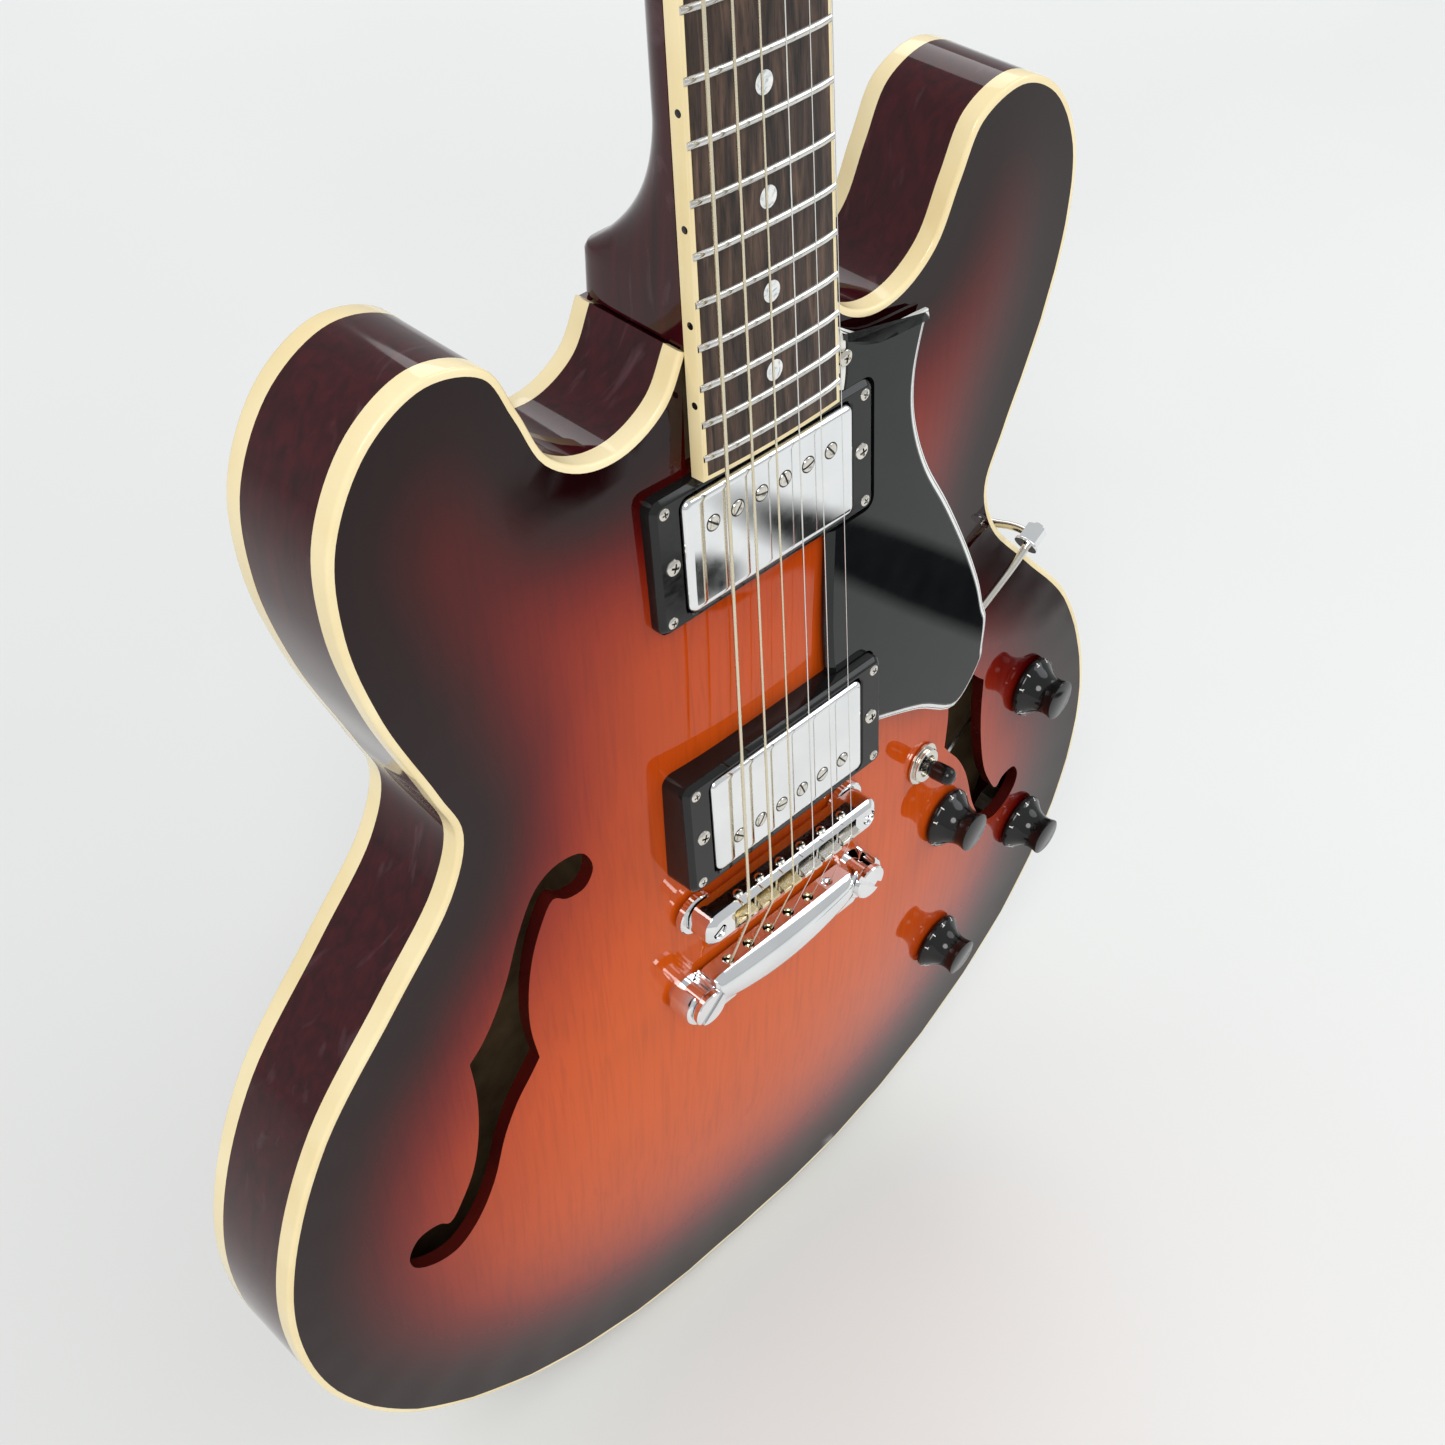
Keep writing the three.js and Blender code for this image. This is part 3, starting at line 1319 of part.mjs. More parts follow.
const postBores = Object.values(signs).flatMap((sign) => [
  slab(
    circle(bridgePostRadius + runningGap, sign * bridgePostFromCentre, bridgeZ, 12),
    tall, -bridgePostDepth - seat,
  ),
  slab(
    circle(studShankRadius + runningGap, sign * tailStudFromCentre, tailZ, 12),
    tall, -studShankDepth - seat,
  ),
]);
const boardSeat = placed(prism(
  rectangle(endHalf + seam, boardEndFromBridge - seam, scaleLength),
  tall,
  -boardThickness - seam,
), neck);
const platePlan = slab(bodyOutline(bindingThickness + seam), tall, -tall);
const topSheet = archedLayer(topGrid, [topCrest, 0], [topCrest, -topThickness]);
const topCuts = [boardSeat, guardScrewHole, ...pickupPockets, ...postBores, ...topHoles, ...soundHoles];
addMesh(guitar, 'top_plate', cut(common(topSheet, platePlan), ...topCuts), 'sunburst');

// Back plate

const backSheet = archedLayer(backGrid, [-backCrest, backThickness - rimDepth], [-backCrest, -rimDepth]);
addMesh(guitar, 'back_plate', cut(common(backSheet, platePlan), backButtonBore), 'darkWood');

// Rim with its linings, open at the neck

const shell = slab(ribbon(0, rimThickness), -bindingHeight - seam, bindingHeight + seam - rimDepth);
const lining = slab(
  ribbon(bindingThickness + 2 * seam, liningReach),
  -topThickness - seam,
  backThickness + seam - rimDepth,
);
const strapHole = strapBore(...endButtonPlace);
addMesh(guitar, 'rim', cut(join(shell, lining), strapHole, jackHole), 'darkWood');

// Bindings

addMesh(guitar, 'top_binding', slab(ribbon(0, bindingThickness), 0, -bindingHeight), 'ivory');
const backBinding = slab(ribbon(0, bindingThickness), bindingHeight - rimDepth, -rimDepth);
addMesh(guitar, 'back_binding', backBinding, 'ivory');

// Centre block, between both plates, with the neck's mortise

const blockPlan = common(
  slab(rectangle(blockHalfWidth, 0, bodyBottom + bodyLength), tall, -tall),
  slab(bodyOutline(liningReach + seam), tall, -tall),
);
const blockFront = archedLayer(topGrid, [topCrest, -topThickness - seam], [0, -rimDepth / 2], blockHalfWidth);
const blockBack = archedLayer(
  backGrid,
  [0, seat - rimDepth / 2],
  [-backCrest, backThickness + seam - rimDepth],
  blockHalfWidth,
);
const mortise = slab(
  rectangle(tenonHalfWidth + seam, neckJointZ - tenonLength - seam, neckJointZ + heelLength),
  tall,
  -tenonDepth - seam,
);
const blockCuts = [mortise, strapHole, backButtonBore, guardScrewHole, ...pickupPockets, ...postBores];
const centreBlock = cut(common(join(blockFront, blockBack), blockPlan), ...blockCuts);
addMesh(guitar, 'centre_block', centreBlock, 'bareWood');

export default guitar;
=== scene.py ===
# A semi-hollow electric guitar with a double cutaway body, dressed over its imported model.
# Shapes are given in millimetres in the model's own frame: X to the treble side, front to -Y, +Z up the neck.

import json
import math

import bmesh
import bpy
import numpy as np
from mathutils import Matrix, Vector
from mathutils.geometry import delaunay_2d_cdt


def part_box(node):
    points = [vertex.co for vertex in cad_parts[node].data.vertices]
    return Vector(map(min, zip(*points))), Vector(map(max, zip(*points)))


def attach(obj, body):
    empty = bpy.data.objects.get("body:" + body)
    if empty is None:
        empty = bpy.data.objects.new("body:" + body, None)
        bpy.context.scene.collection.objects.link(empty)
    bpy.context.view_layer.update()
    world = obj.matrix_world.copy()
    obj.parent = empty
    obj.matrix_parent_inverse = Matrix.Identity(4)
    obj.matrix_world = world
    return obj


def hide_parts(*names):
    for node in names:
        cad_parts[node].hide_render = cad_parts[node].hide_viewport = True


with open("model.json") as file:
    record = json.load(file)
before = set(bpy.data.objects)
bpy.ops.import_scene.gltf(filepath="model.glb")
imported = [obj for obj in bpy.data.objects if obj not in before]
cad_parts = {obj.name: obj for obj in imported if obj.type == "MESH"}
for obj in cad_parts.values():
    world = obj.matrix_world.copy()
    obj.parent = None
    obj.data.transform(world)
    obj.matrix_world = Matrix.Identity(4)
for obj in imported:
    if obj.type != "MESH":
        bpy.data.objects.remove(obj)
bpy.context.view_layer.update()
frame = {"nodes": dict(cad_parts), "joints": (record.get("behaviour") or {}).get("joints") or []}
joints = {joint["name"]: joint for joint in frame["joints"]}
scene = bpy.context.scene
MM = 0.001
SIDES = {"bass": -1, "treble": 1}

# Sizes that the model's pieces share, in millimetres

BODY_HALF_WIDTH = 207.5
BODY_LENGTH = 487
BODY_BOTTOM = 13.3
BRIDGE_Z = 264.3
RIM_DEPTH = 41.5
TOP_CREST, BACK_CREST, ARCH_REACH = 12.5, 8, 150
TOP_THICKNESS, BACK_THICKNESS = 5, 4.5
BINDING_WIDTH, BINDING_HEIGHT, BINDING_CORNER = 2.2, 6.3, 1.1
SCALE_LENGTH, FRET_COUNT = 628, 22
BOARD_PLANE, BOARD_THICKNESS, BOARD_RADIUS = 22.2, 6.3, 305
BOARD_START = 169
NUT_HALF, NUT_LENGTH, BOARD_END_HALF = 21.5, 5, 27.8
SEAM = 0.3
STRING_DIAMETERS = [1.17, 0.91, 0.66, 0.43, 0.33, 0.25]
RING_TOPS = {"neck_pickup": (145.9, -3.7), "bridge_pickup": (43.6, 0)}
COVER_TOPS = {"neck_pickup": -2.2, "bridge_pickup": 0.8}
POLE_ROWS = {"neck_pickup": 8, "bridge_pickup": -9}
POST_X, STUD_X, TAIL_DROP = 37, 41.2, 37.2

# Frames: the body's, the neck's with its origin on the board's plane at the bridge line, the headstock's


def front_y(height):
    return -(RIM_DEPTH / 2 + height)


def placed(origin, rotation=Matrix.Identity(3)):
    return Matrix.Translation(origin) @ rotation.to_4x4()


def turn(degrees, axis):
    return Matrix.Rotation(math.radians(degrees), 3, axis)


def facing(direction):
    """The rotation that turns -Y to a direction."""
    return Vector((0, -1, 0)).rotation_difference(direction).to_matrix()


IDENTITY = Matrix.Identity(4)
FRONT = placed((0, front_y(0), 0))
NECK_PITCH, HEAD_PITCH = 4.35, 15
NECK_ANGLE = math.radians(NECK_PITCH)
NECK = placed((0, front_y(BOARD_PLANE), BRIDGE_Z), turn(-NECK_PITCH, "X"))
UNDER_BOARD = BOARD_THICKNESS + SEAM
NUT_START = SCALE_LENGTH + SEAM
SHAFT_END = NUT_START + NUT_LENGTH + 2
HEAD = NECK @ placed((0, UNDER_BOARD, SHAFT_END), turn(-HEAD_PITCH, "X"))


def joint_frame(name, back):
    """A frame on a joint's place whose -Y axis is the joint's axis."""
    axis = Vector(joints[name]["axis"])
    return placed(Vector(joints[name]["pos_m"]) / MM + axis * back, facing(axis))


def node_box(name):
    return [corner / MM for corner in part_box(name)]


# Node materials

GRAY = [(0, (0, 0, 0)), (1, (1, 1, 1))]


class Finish:
    """A material built from nodes, with short names for the few node kinds used here."""

    def __init__(self, name, slot, **settings):
        self.material = bpy.data.materials.new(name)
        self.material.use_nodes = True
        self.slot = slot
        self.tree = self.material.node_tree
        self.shader = self.tree.nodes["Principled BSDF"]
        for key, value in settings.items():
            self.shader.inputs[key.replace("_", " ")].default_value = value
        self.coordinates = self.node("ShaderNodeTexCoord").outputs["Object"]

    def node(self, kind, **properties):
        node = self.tree.nodes.new(kind)
        for key, value in properties.items():
            setattr(node, key, value)
        return node

    def fill(self, node, values):
        for key, value in values.items():
            if isinstance(value, bpy.types.NodeSocket):
                self.tree.links.new(value, node.inputs[key])
            else:
                node.inputs[key].default_value = value
        return node

    def noise(self, scale, detail=3.0, stretch=None, distortion=0.0):
        vector = self.coordinates
        if stretch:
            mapping = self.node("ShaderNodeMapping")
            vector = self.fill(mapping, {"Vector": vector, "Scale": stretch}).outputs["Vector"]
        values = {"Vector": vector, "Scale": scale, "Detail": detail, "Distortion": distortion}
        return self.fill(self.node("ShaderNodeTexNoise"), values).outputs["Fac"]

    def ramp(self, factor, stops):
        node = self.node("ShaderNodeValToRGB")
        elements = node.color_ramp.elements
        while len(elements) < len(stops):
            elements.new(0.5)
        for element, (position, color) in zip(elements, stops):
            element.position = position
            element.color = (*color, 1)
        return self.fill(node, {"Fac": factor}).outputs["Color"]

    def span(self, factor, low, high, from_low=0.3, from_high=0.7):
        node = self.node("ShaderNodeMapRange")
        values = {"Value": factor, "From Min": from_low, "From Max": from_high, "To Min": low, "To Max": high}
        return self.fill(node, values).outputs["Result"]

    def blend(self, mode, factor, a, b):
        node = self.node("ShaderNodeMix", data_type="RGBA", blend_type=mode)
        self.fill(node, {0: factor, 6: a, 7: b})
        return node.outputs[2]

    def finish(self, color, roughness, height=None, strength=0.2, distance=0.0001):
        """Links the sockets that vary over the surface."""
        values = {"Base Color": color, "Roughness": roughness}
        if height is not None:
            bump = self.node("ShaderNodeBump")
            self.fill(bump, {"Height": height, "Strength": strength, "Distance": distance})
            values["Normal"] = bump.outputs["Normal"]
        self.fill(self.shader, values)
        return self


def lacquer(name, slot, color_of, roughness=(0.02, 0.05), ior=1.33):
    """Gloss lacquer: a colour that color_of builds, under a film with a slow wave and faint haze marks."""
    made = Finish(name, slot, IOR=ior)
    shine = made.noise(38, 4, distortion=0.4)
    return made.finish(color_of(made), made.span(shine, *roughness), made.noise(22, 2), 0.05, 0.0004)


BURST_REACH = 110
BURST = [
    (0, (0.0085, 0.0006, 0.0012)), (0.13, (0.013, 0.0008, 0.0012)), (0.21, (0.038, 0.001, 0.001)),
    (0.29, (0.085, 0.002, 0.0015)), (0.38, (0.17, 0.008, 0.003)), (0.47, (0.29, 0.022, 0.004)),
    (0.6, (0.43, 0.046, 0.004)), (0.78, (0.56, 0.072, 0.005)), (1, (0.63, 0.092, 0.006)),
]


def sunburst(made):
    """Dark at the edge to orange in the middle, by the top's own measure of its distance from the edge."""
    reach = made.node("ShaderNodeAttribute", attribute_name="burst").outputs["Fac"]
    edge = made.node("ShaderNodeMath", operation="ADD")
    made.fill(edge, {0: reach, 1: made.span(made.noise(9, 3), -0.035, 0.035)})
    color = made.ramp(edge.outputs[0], BURST)
    grain = made.span(made.noise(60, 6, (9, 9, 0.35), 0.8), 0.86, 1.1)
    mottle = made.span(made.noise(30, 4), 0.93, 1.07)
    shade = made.blend("MULTIPLY", 1.0, color, made.ramp(grain, GRAY))
    return made.blend("MULTIPLY", 0.6, shade, made.ramp(mottle, GRAY))


def dark_wood(made):
    grain = made.noise(45, 6, (6, 6, 0.5), 0.6)
    base = made.ramp(grain, [(0.3, (0.022, 0.0012, 0.0026)), (0.7, (0.05, 0.0026, 0.0055))])
    # Lighter streaks: scuffs in the lacquer, and painted sheen for the streaky reflections on the dark wood.
    scuffs_and_sheen = made.ramp(made.noise(26, 8, (1, 2.4, 1), 2.2), [(0.6, (0, 0, 0)), (0.8, (1, 1, 1))])
    return made.blend("ADD", 1.0, base, made.blend("MULTIPLY", 1.0, scuffs_and_sheen, (0.05, 0.035, 0.042, 1)))


def two_tone(low, high, scale=40):
    """A colour that drifts between two tones."""
    return lambda made: made.ramp(made.noise(scale, 4), [(0.3, low), (0.7, high)])


def plastic(name, slot, low, high, roughness, bump=0.06, ior=1.5):
    made = Finish(name, slot, IOR=ior)
    marks = made.noise(260, 5, (1, 1, 3))
    return made.finish(two_tone(low, high, 90)(made), made.span(marks, *roughness), marks, bump, 0.00005)


def metal(name, slot, low, high, roughness, stretch=None):
    made = Finish(name, slot, Metallic=1.0)
    marks = made.noise(180, 5, stretch)
    return made.finish(two_tone(low, high, 60)(made), made.span(marks, *roughness), marks, 0.03, 0.00005)


def rosewood_finish():
    made = Finish("rosewood", "rosewood", IOR=1.45)
    streaks = made.noise(70, 8, (5, 5, 0.35), 0.9)
    pores = made.noise(420, 3, (5, 5, 0.3))
    color = made.ramp(streaks, [
        (0.3, (0.006, 0.0035, 0.003)), (0.42, (0.03, 0.016, 0.011)),
        (0.55, (0.06, 0.033, 0.022)), (0.74, (0.13, 0.076, 0.05)),
    ])
    dark = made.ramp(pores, [(0.34, (0.25, 0.25, 0.25)), (0.46, (1, 1, 1))])
    color = made.blend("MULTIPLY", 0.8, color, dark)
    return made.finish(color, made.span(pores, 0.36, 0.6), pores, 0.35, 0.0002)


def pearl_finish():
    made = Finish("pearl", "rosewood", IOR=1.55)
    swirl = made.noise(260, 3, distortion=2.5)
    color = made.ramp(swirl, [(0.3, (0.42, 0.47, 0.52)), (0.5, (0.78, 0.8, 0.78)), (0.7, (0.9, 0.86, 0.84))])
    return made.finish(color, made.span(swirl, 0.1, 0.25), swirl, 0.1, 0.0001)


def wound_finish():
    made = Finish("wound_string", "wound_string", Metallic=1.0)
    turns = made.node("ShaderNodeTexWave", wave_type="BANDS", bands_direction="Z")
    wave = made.fill(turns, {"Vector": made.coordinates, "Scale": 900}).outputs["Fac"]
    color = made.ramp(wave, [(0, (0.62, 0.54, 0.38)), (1, (0.86, 0.79, 0.62))])
    return made.finish(color, made.span(made.noise(300), 0.2, 0.34), wave, 0.12, 0.0001)


def floor_finish():
    """A pale floor with painted light: its colour grows a little brighter behind the guitar, standing in for
    stronger light on the far floor.
    """
    made = Finish("pale_floor", None, IOR=1.45)
    near = two_tone((0.75, 0.757, 0.75), (0.785, 0.792, 0.783), 1.6)(made)
    away = made.node("ShaderNodeSeparateXYZ")
    made.fill(away, {0: made.coordinates})
    # Painted light: the floor's colour brightens with distance behind the guitar.
    painted_light_share = made.span(away.outputs["Y"], 0, 1, 0.5, 1.8)
    color = made.blend("MIX", painted_light_share, near, (0.91, 0.915, 0.91, 1))
    return made.finish(color, made.span(made.noise(6), 0.55, 0.7), made.noise(90, 2), 0.02, 0.0005)


def screen_finish():
    """Painted shade: a dark sheet, seen only in reflections, that fades out towards its border."""
    made = Finish("painted_shade_sheet", None, IOR=1.2)
    length = made.node("ShaderNodeVectorMath", operation="LENGTH")
    made.fill(length, {0: made.coordinates})
    made.fill(made.shader, {"Alpha": made.ramp(length.outputs["Value"], [(0.62, (1, 1, 1)), (1, (0, 0, 0))])})
    color = two_tone((0.01, 0.01, 0.011), (0.014, 0.014, 0.014))(made)
    return made.finish(color, made.span(made.noise(6), 0.8, 0.9))


IVORY = two_tone((0.84, 0.68, 0.37), (0.94, 0.81, 0.51), 26)
HOLE_WALL = two_tone((0.028, 0.002, 0.002), (0.07, 0.006, 0.004))
BLACK_TONES = (0.005, 0.0052, 0.0054), (0.009, 0.009, 0.009)
GUARD_TONES = (0.004, 0.0045, 0.005), (0.007, 0.0075, 0.008)
FINISHES = {
    "sunburst": lacquer("sunburst_lacquer", "sunburst_top", sunburst),
    "wine": lacquer("wine_lacquer", "dark_wood", dark_wood, (0.03, 0.09), 1.38),
    "hole_wall": lacquer("hole_wall", "sunburst_top", HOLE_WALL, (0.2, 0.35)),
    "bare_wood": plastic(
        "bare_wood", "block_wood", (0.2, 0.13, 0.065), (0.32, 0.22, 0.12), (0.6, 0.8), 0.3, 1.4,
    ),
    "ivory": lacquer("ivory_binding", "ivory_binding", IVORY, (0.05, 0.14), 1.42),
    "rosewood": rosewood_finish(),
    "pearl": pearl_finish(),
    "bone": plastic("bone", "bone", (0.78, 0.73, 0.6), (0.86, 0.82, 0.71), (0.3, 0.45)),
    "black": plastic("black_plastic", "black_plastic", *BLACK_TONES, (0.06, 0.14), ior=1.42),
    "guard": plastic("guard_black", "black_plastic", *GUARD_TONES, (0.02, 0.05), 0.02, 1.42),
    "white": plastic("white_plastic", "black_plastic", (0.74, 0.75, 0.73), (0.84, 0.84, 0.82), (0.2, 0.35)),
    "chrome": metal("chrome", "chrome", (0.80, 0.81, 0.82), (0.88, 0.885, 0.89), (0.03, 0.07)),
    "nickel": metal("nickel", "nickel", (0.66, 0.63, 0.57), (0.78, 0.75, 0.69), (0.1, 0.22)),
    "brass": metal("brass", "nickel", (0.62, 0.5, 0.28), (0.78, 0.66, 0.42), (0.16, 0.3)),
    "steel": metal("steel", "steel", (0.7, 0.69, 0.66), (0.82, 0.81, 0.78), (0.14, 0.26), (1, 1, 6)),
    "fret": metal("fret_nickel", "rosewood", (0.62, 0.6, 0.56), (0.8, 0.79, 0.76), (0.12, 0.24), (1, 8, 1)),
    "wound": wound_finish(),
}

# Meshes: a shape is a list of points and a list of faces


def circle(radius, x=0.0, z=0.0, steps=32):
    angles = [i / steps * 2 * math.pi for i in range(steps)]
    return [(x + radius * math.cos(a), z + radius * math.sin(a)) for a in angles]


def rounded(half_x, half_z, radius, z=0.0, x=0.0, steps=6):
    """A rectangle's plan with round corners."""
    points = []
    for sign_x, sign_z, start in ((1, -1, -0.5), (1, 1, 0), (-1, 1, 0.5), (-1, -1, 1)):
        for i in range(steps + 1):
            angle = (start + 0.5 * i / steps) * math.pi
            points.append((
                x + sign_x * (half_x - radius) + radius * math.cos(angle),
                z + sign_z * (half_z - radius) + radius * math.sin(angle),
            ))
    return points


def mirrored(side):
    """A plan from its treble side, whose last point lies on the centre line."""
    return side + [(-x, z) for x, z in side[-2::-1]]


def loft(rings, caps=True):
    """A shape through rings of points with one count."""
    count = len(rings[0])
    faces = []
    for start in range(0, (len(rings) - 1) * count, count):
        for k in range(count):
            a, b = start + k, start + (k + 1) % count
            faces.append((a, b, b + count, a + count))
    if caps:
        last = (len(rings) - 1) * count
        faces += [tuple(range(count - 1, -1, -1)), tuple(range(last, last + count))]
    return [p for ring in rings for p in ring], faces


def inset(plan, amount):
    """A closed counter-clockwise plan moved inwards by an amount."""
    points = np.array(plan, float)
    along = np.roll(points, -1, axis=0) - np.roll(points, 1, axis=0)
    along /= np.linalg.norm(along, axis=1)[:, None]
    return [tuple(p) for p in points + amount * np.stack([-along[:, 1], along[:, 0]], axis=1)]


def plate(plan, levels):
    """A plate on a plan, through (height, inset) levels from low to high."""
    return loft([[(x, -h, z) for x, z in (inset(plan, amount) if amount else plan)] for h, amount in levels])


def prism(plan, low, high):
    return plate(plan, [(low, 0), (high, 0)])


def softened(plan, bottom, top, edge, lower_edge=0.0):
    """A plate whose upper edge is rounded, and its lower one cut if asked."""
    levels = [(bottom, lower_edge), (bottom + lower_edge, 0)] if lower_edge else [(bottom, 0)]
    for angle in (0, math.pi / 6, math.pi / 3, math.pi / 2):
        levels.append((top - edge + edge * math.sin(angle), edge * (1 - math.cos(angle))))
    return plate(plan, levels)


def lathe(profile, steps=32, knurl=0.0):
    """A turned piece from (radius, distance) pairs along -Y; knurl pulls every other point in."""
    rings = []
    for radius, distance in profile:
        radii = [radius - knurl * (i % 2) if radius > knurl else radius for i in range(steps)]
        angles = [i / steps * 2 * math.pi for i in range(steps)]
        rings.append([(r * math.cos(a), -distance, r * math.sin(a)) for r, a in zip(radii, angles)])
    return loft(rings)


def rod(radius, low, high, steps=24):
    return lathe([(radius, low), (radius, high)], steps)


def tube(route, radius, sides):
    """A round tube along points."""
    points = [Vector(p) for p in route]
    side = Vector((1, 0, 0.01))
    rings = []
    for i, point in enumerate(points):
        tangent = (points[min(i + 1, len(points) - 1)] - points[max(i - 1, 0)]).normalized()
        side = (side - tangent * side.dot(tangent)).normalized()
        other = tangent.cross(side)
        rings.append([point + side * a + other * b for a, b in circle(radius, steps=sides)])
    return loft(rings)


def moved(shape, matrix):
    points, faces = shape
    return [matrix @ Vector(p) for p in points], faces


def joined(*shapes):
    points, faces = [], []
    for own_points, own_faces in shapes:
        start = len(points)
        points += [Vector(p) for p in own_points]
        faces += [tuple(index + start for index in face) for face in own_faces]
    return points, faces


def new_mesh(name, shape, matrix=IDENTITY, scale=MM):
    points, faces = shape
    mesh = bpy.data.meshes.new(name)
    mesh.from_pydata([(matrix @ Vector(p)) * scale for p in points], [], faces)
    work = bmesh.new()
    work.from_mesh(mesh)
    bmesh.ops.recalc_face_normals(work, faces=work.faces)
    work.to_mesh(mesh)
    work.free()
    return mesh


def link(name, data):
    obj = bpy.data.objects.new(name, data)
    scene.collection.objects.link(obj)
    return obj


def evaluated(obj, *tools):
    """The final mesh of an object less its tools, which are all removed."""
    for tool in tools:
        cut = obj.modifiers.new("cut", "BOOLEAN")
        cut.operation, cut.solver, cut.object = "DIFFERENCE", "EXACT", tool
    mesh = bpy.data.meshes.new_from_object(obj.evaluated_get(bpy.context.evaluated_depsgraph_get()))
    mesh.name = obj.name
    for used in (obj, *tools):
        bpy.data.objects.remove(used)
    return mesh


def read_shape(mesh):
    return [v.co.copy() for v in mesh.vertices], [tuple(p.vertices) for p in mesh.polygons]


def carved(shape, *cutters):
    """A shape less other shapes."""
    body = link("carving", new_mesh("carving", shape, scale=1))
    tools = [link("cutter", new_mesh("cutter", cutter, scale=1)) for cutter in cutters]
    return read_shape(evaluated(body, *tools))


def dress(obj, finish, body, replaces=(), smooth=32, bevel=None):
    """Gives a new piece its material, shading and edges, and lets it ride on its body."""
    finishes = [finish] if isinstance(finish, str) else finish
    for name in finishes:
        obj.data.materials.append(FINISHES[name].material)
    obj.data.shade_smooth()
    if bevel:
        edge = obj.modifiers.new("edges", "BEVEL")
        edge.width, edge.segments, edge.limit_method = bevel * MM, 3, "ANGLE"
        edge.angle_limit, edge.harden_normals = math.radians(34), True
        edge.use_clamp_overlap = True
    else:
        obj.data.set_sharp_from_angle(angle=math.radians(smooth))
    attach(obj, body)
    if replaces:
        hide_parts(*replaces)
    return obj


def piece(name, shape, finish, body="guitar", matrix=IDENTITY, replaces=(), smooth=32, bevel=None):
    return dress(link(name, new_mesh(name, shape, matrix)), finish, body, replaces, smooth, bevel)


# Body outline, as in the model: half of it as shares, from the bottom centre to the neck

OUTLINE = [
    (0, 0), (0.3, 0.01), (0.58, 0.057), (0.83, 0.147), (0.965, 0.255), (1, 0.352), (0.97, 0.433),
    (0.875, 0.522), (0.72, 0.598), (0.605, 0.655), (0.572, 0.697), (0.6, 0.735), (0.668, 0.813),
    (0.7, 0.88), (0.69, 0.937), (0.625, 0.982), (0.535, 1), (0.445, 0.988), (0.403, 0.955),
    (0.362, 0.919), (0.3, 0.901), (0.235, 0.899), (0.172, 0.913), (0.138, 0.94),
]


def curve_through(points, steps):
    """Points and tangents of a centripetal Catmull-Rom curve."""
    rows = np.array(points, float)
    rows = np.vstack([2 * rows[0] - rows[1], rows, 2 * rows[-1] - rows[-2]])
    places, tangents = [], []
    for i in range(1, len(rows) - 2):
        p0, p1, p2, p3 = rows[i - 1:i + 3]
        d0, d1, d2 = (math.sqrt(np.linalg.norm(b - a)) or 1 for a, b in ((p0, p1), (p1, p2), (p2, p3)))
        t1 = ((p1 - p0) / d0 - (p2 - p0) / (d0 + d1) + (p2 - p1) / d1) * d1
        t2 = ((p2 - p1) / d1 - (p3 - p1) / (d1 + d2) + (p3 - p2) / d2) * d1
        c2, c3 = 3 * (p2 - p1) - 2 * t1 - t2, 2 * (p1 - p2) + t1 + t2
        for k in range(steps + (i == len(rows) - 3)):
            t = k / steps
            places.append(p1 + t1 * t + c2 * t * t + c3 * t ** 3)
            tangents.append(t1 + 2 * c2 * t + 3 * c3 * t * t)
    tangents = np.array(tangents)
    return np.array(places), tangents / np.linalg.norm(tangents, axis=1)[:, None]


OUTLINE_ROWS = [
    (x * BODY_HALF_WIDTH, BODY_BOTTOM + z * BODY_LENGTH)
    for x, z in [(-x, z) for x, z in OUTLINE[:0:-1]] + OUTLINE
]


def body_outline(amount, steps=6):
    points, tangents = curve_through(OUTLINE_ROWS, steps)
    return points + amount * np.stack([-tangents[:, 1], tangents[:, 0]], axis=1)


EDGE = body_outline(0, 2)
EDGE_MIDDLES = (EDGE + np.roll(EDGE, -1, axis=0)) / 2
EDGE_LENGTHS = np.linalg.norm(np.roll(EDGE, -1, axis=0) - EDGE, axis=1)


def edge_distance(points):
    """A smooth measure of the distance from the body's edge."""
    squares = ((np.array(points, float)[:, None, :] - EDGE_MIDDLES[None]) ** 2).sum(axis=2)
    return ((EDGE_LENGTHS / np.maximum(squares, 0.5) ** 2).sum(axis=1) / (math.pi / 2)) ** (-1 / 3)


def arch(points):
    share = np.minimum(1, edge_distance(points) / ARCH_REACH)
    return share * share * (3 - 2 * share)


def inside(points, plan):
    """Which points lie inside a plan."""
    points, plan = np.array(points), np.array(plan)
    result = np.zeros(len(points), bool)
    for (x0, z0), (x1, z1) in zip(plan, np.roll(plan, -1, axis=0)):
        if z0 != z1:
            crosses = (z0 > points[:, 1]) != (z1 > points[:, 1])
            result ^= crosses & (points[:, 0] < (x1 - x0) * (points[:, 1] - z0) / (z1 - z0) + x0)
    return result


EDGE_CLEARANCE, HOLE_CLEARANCE = 3, 2


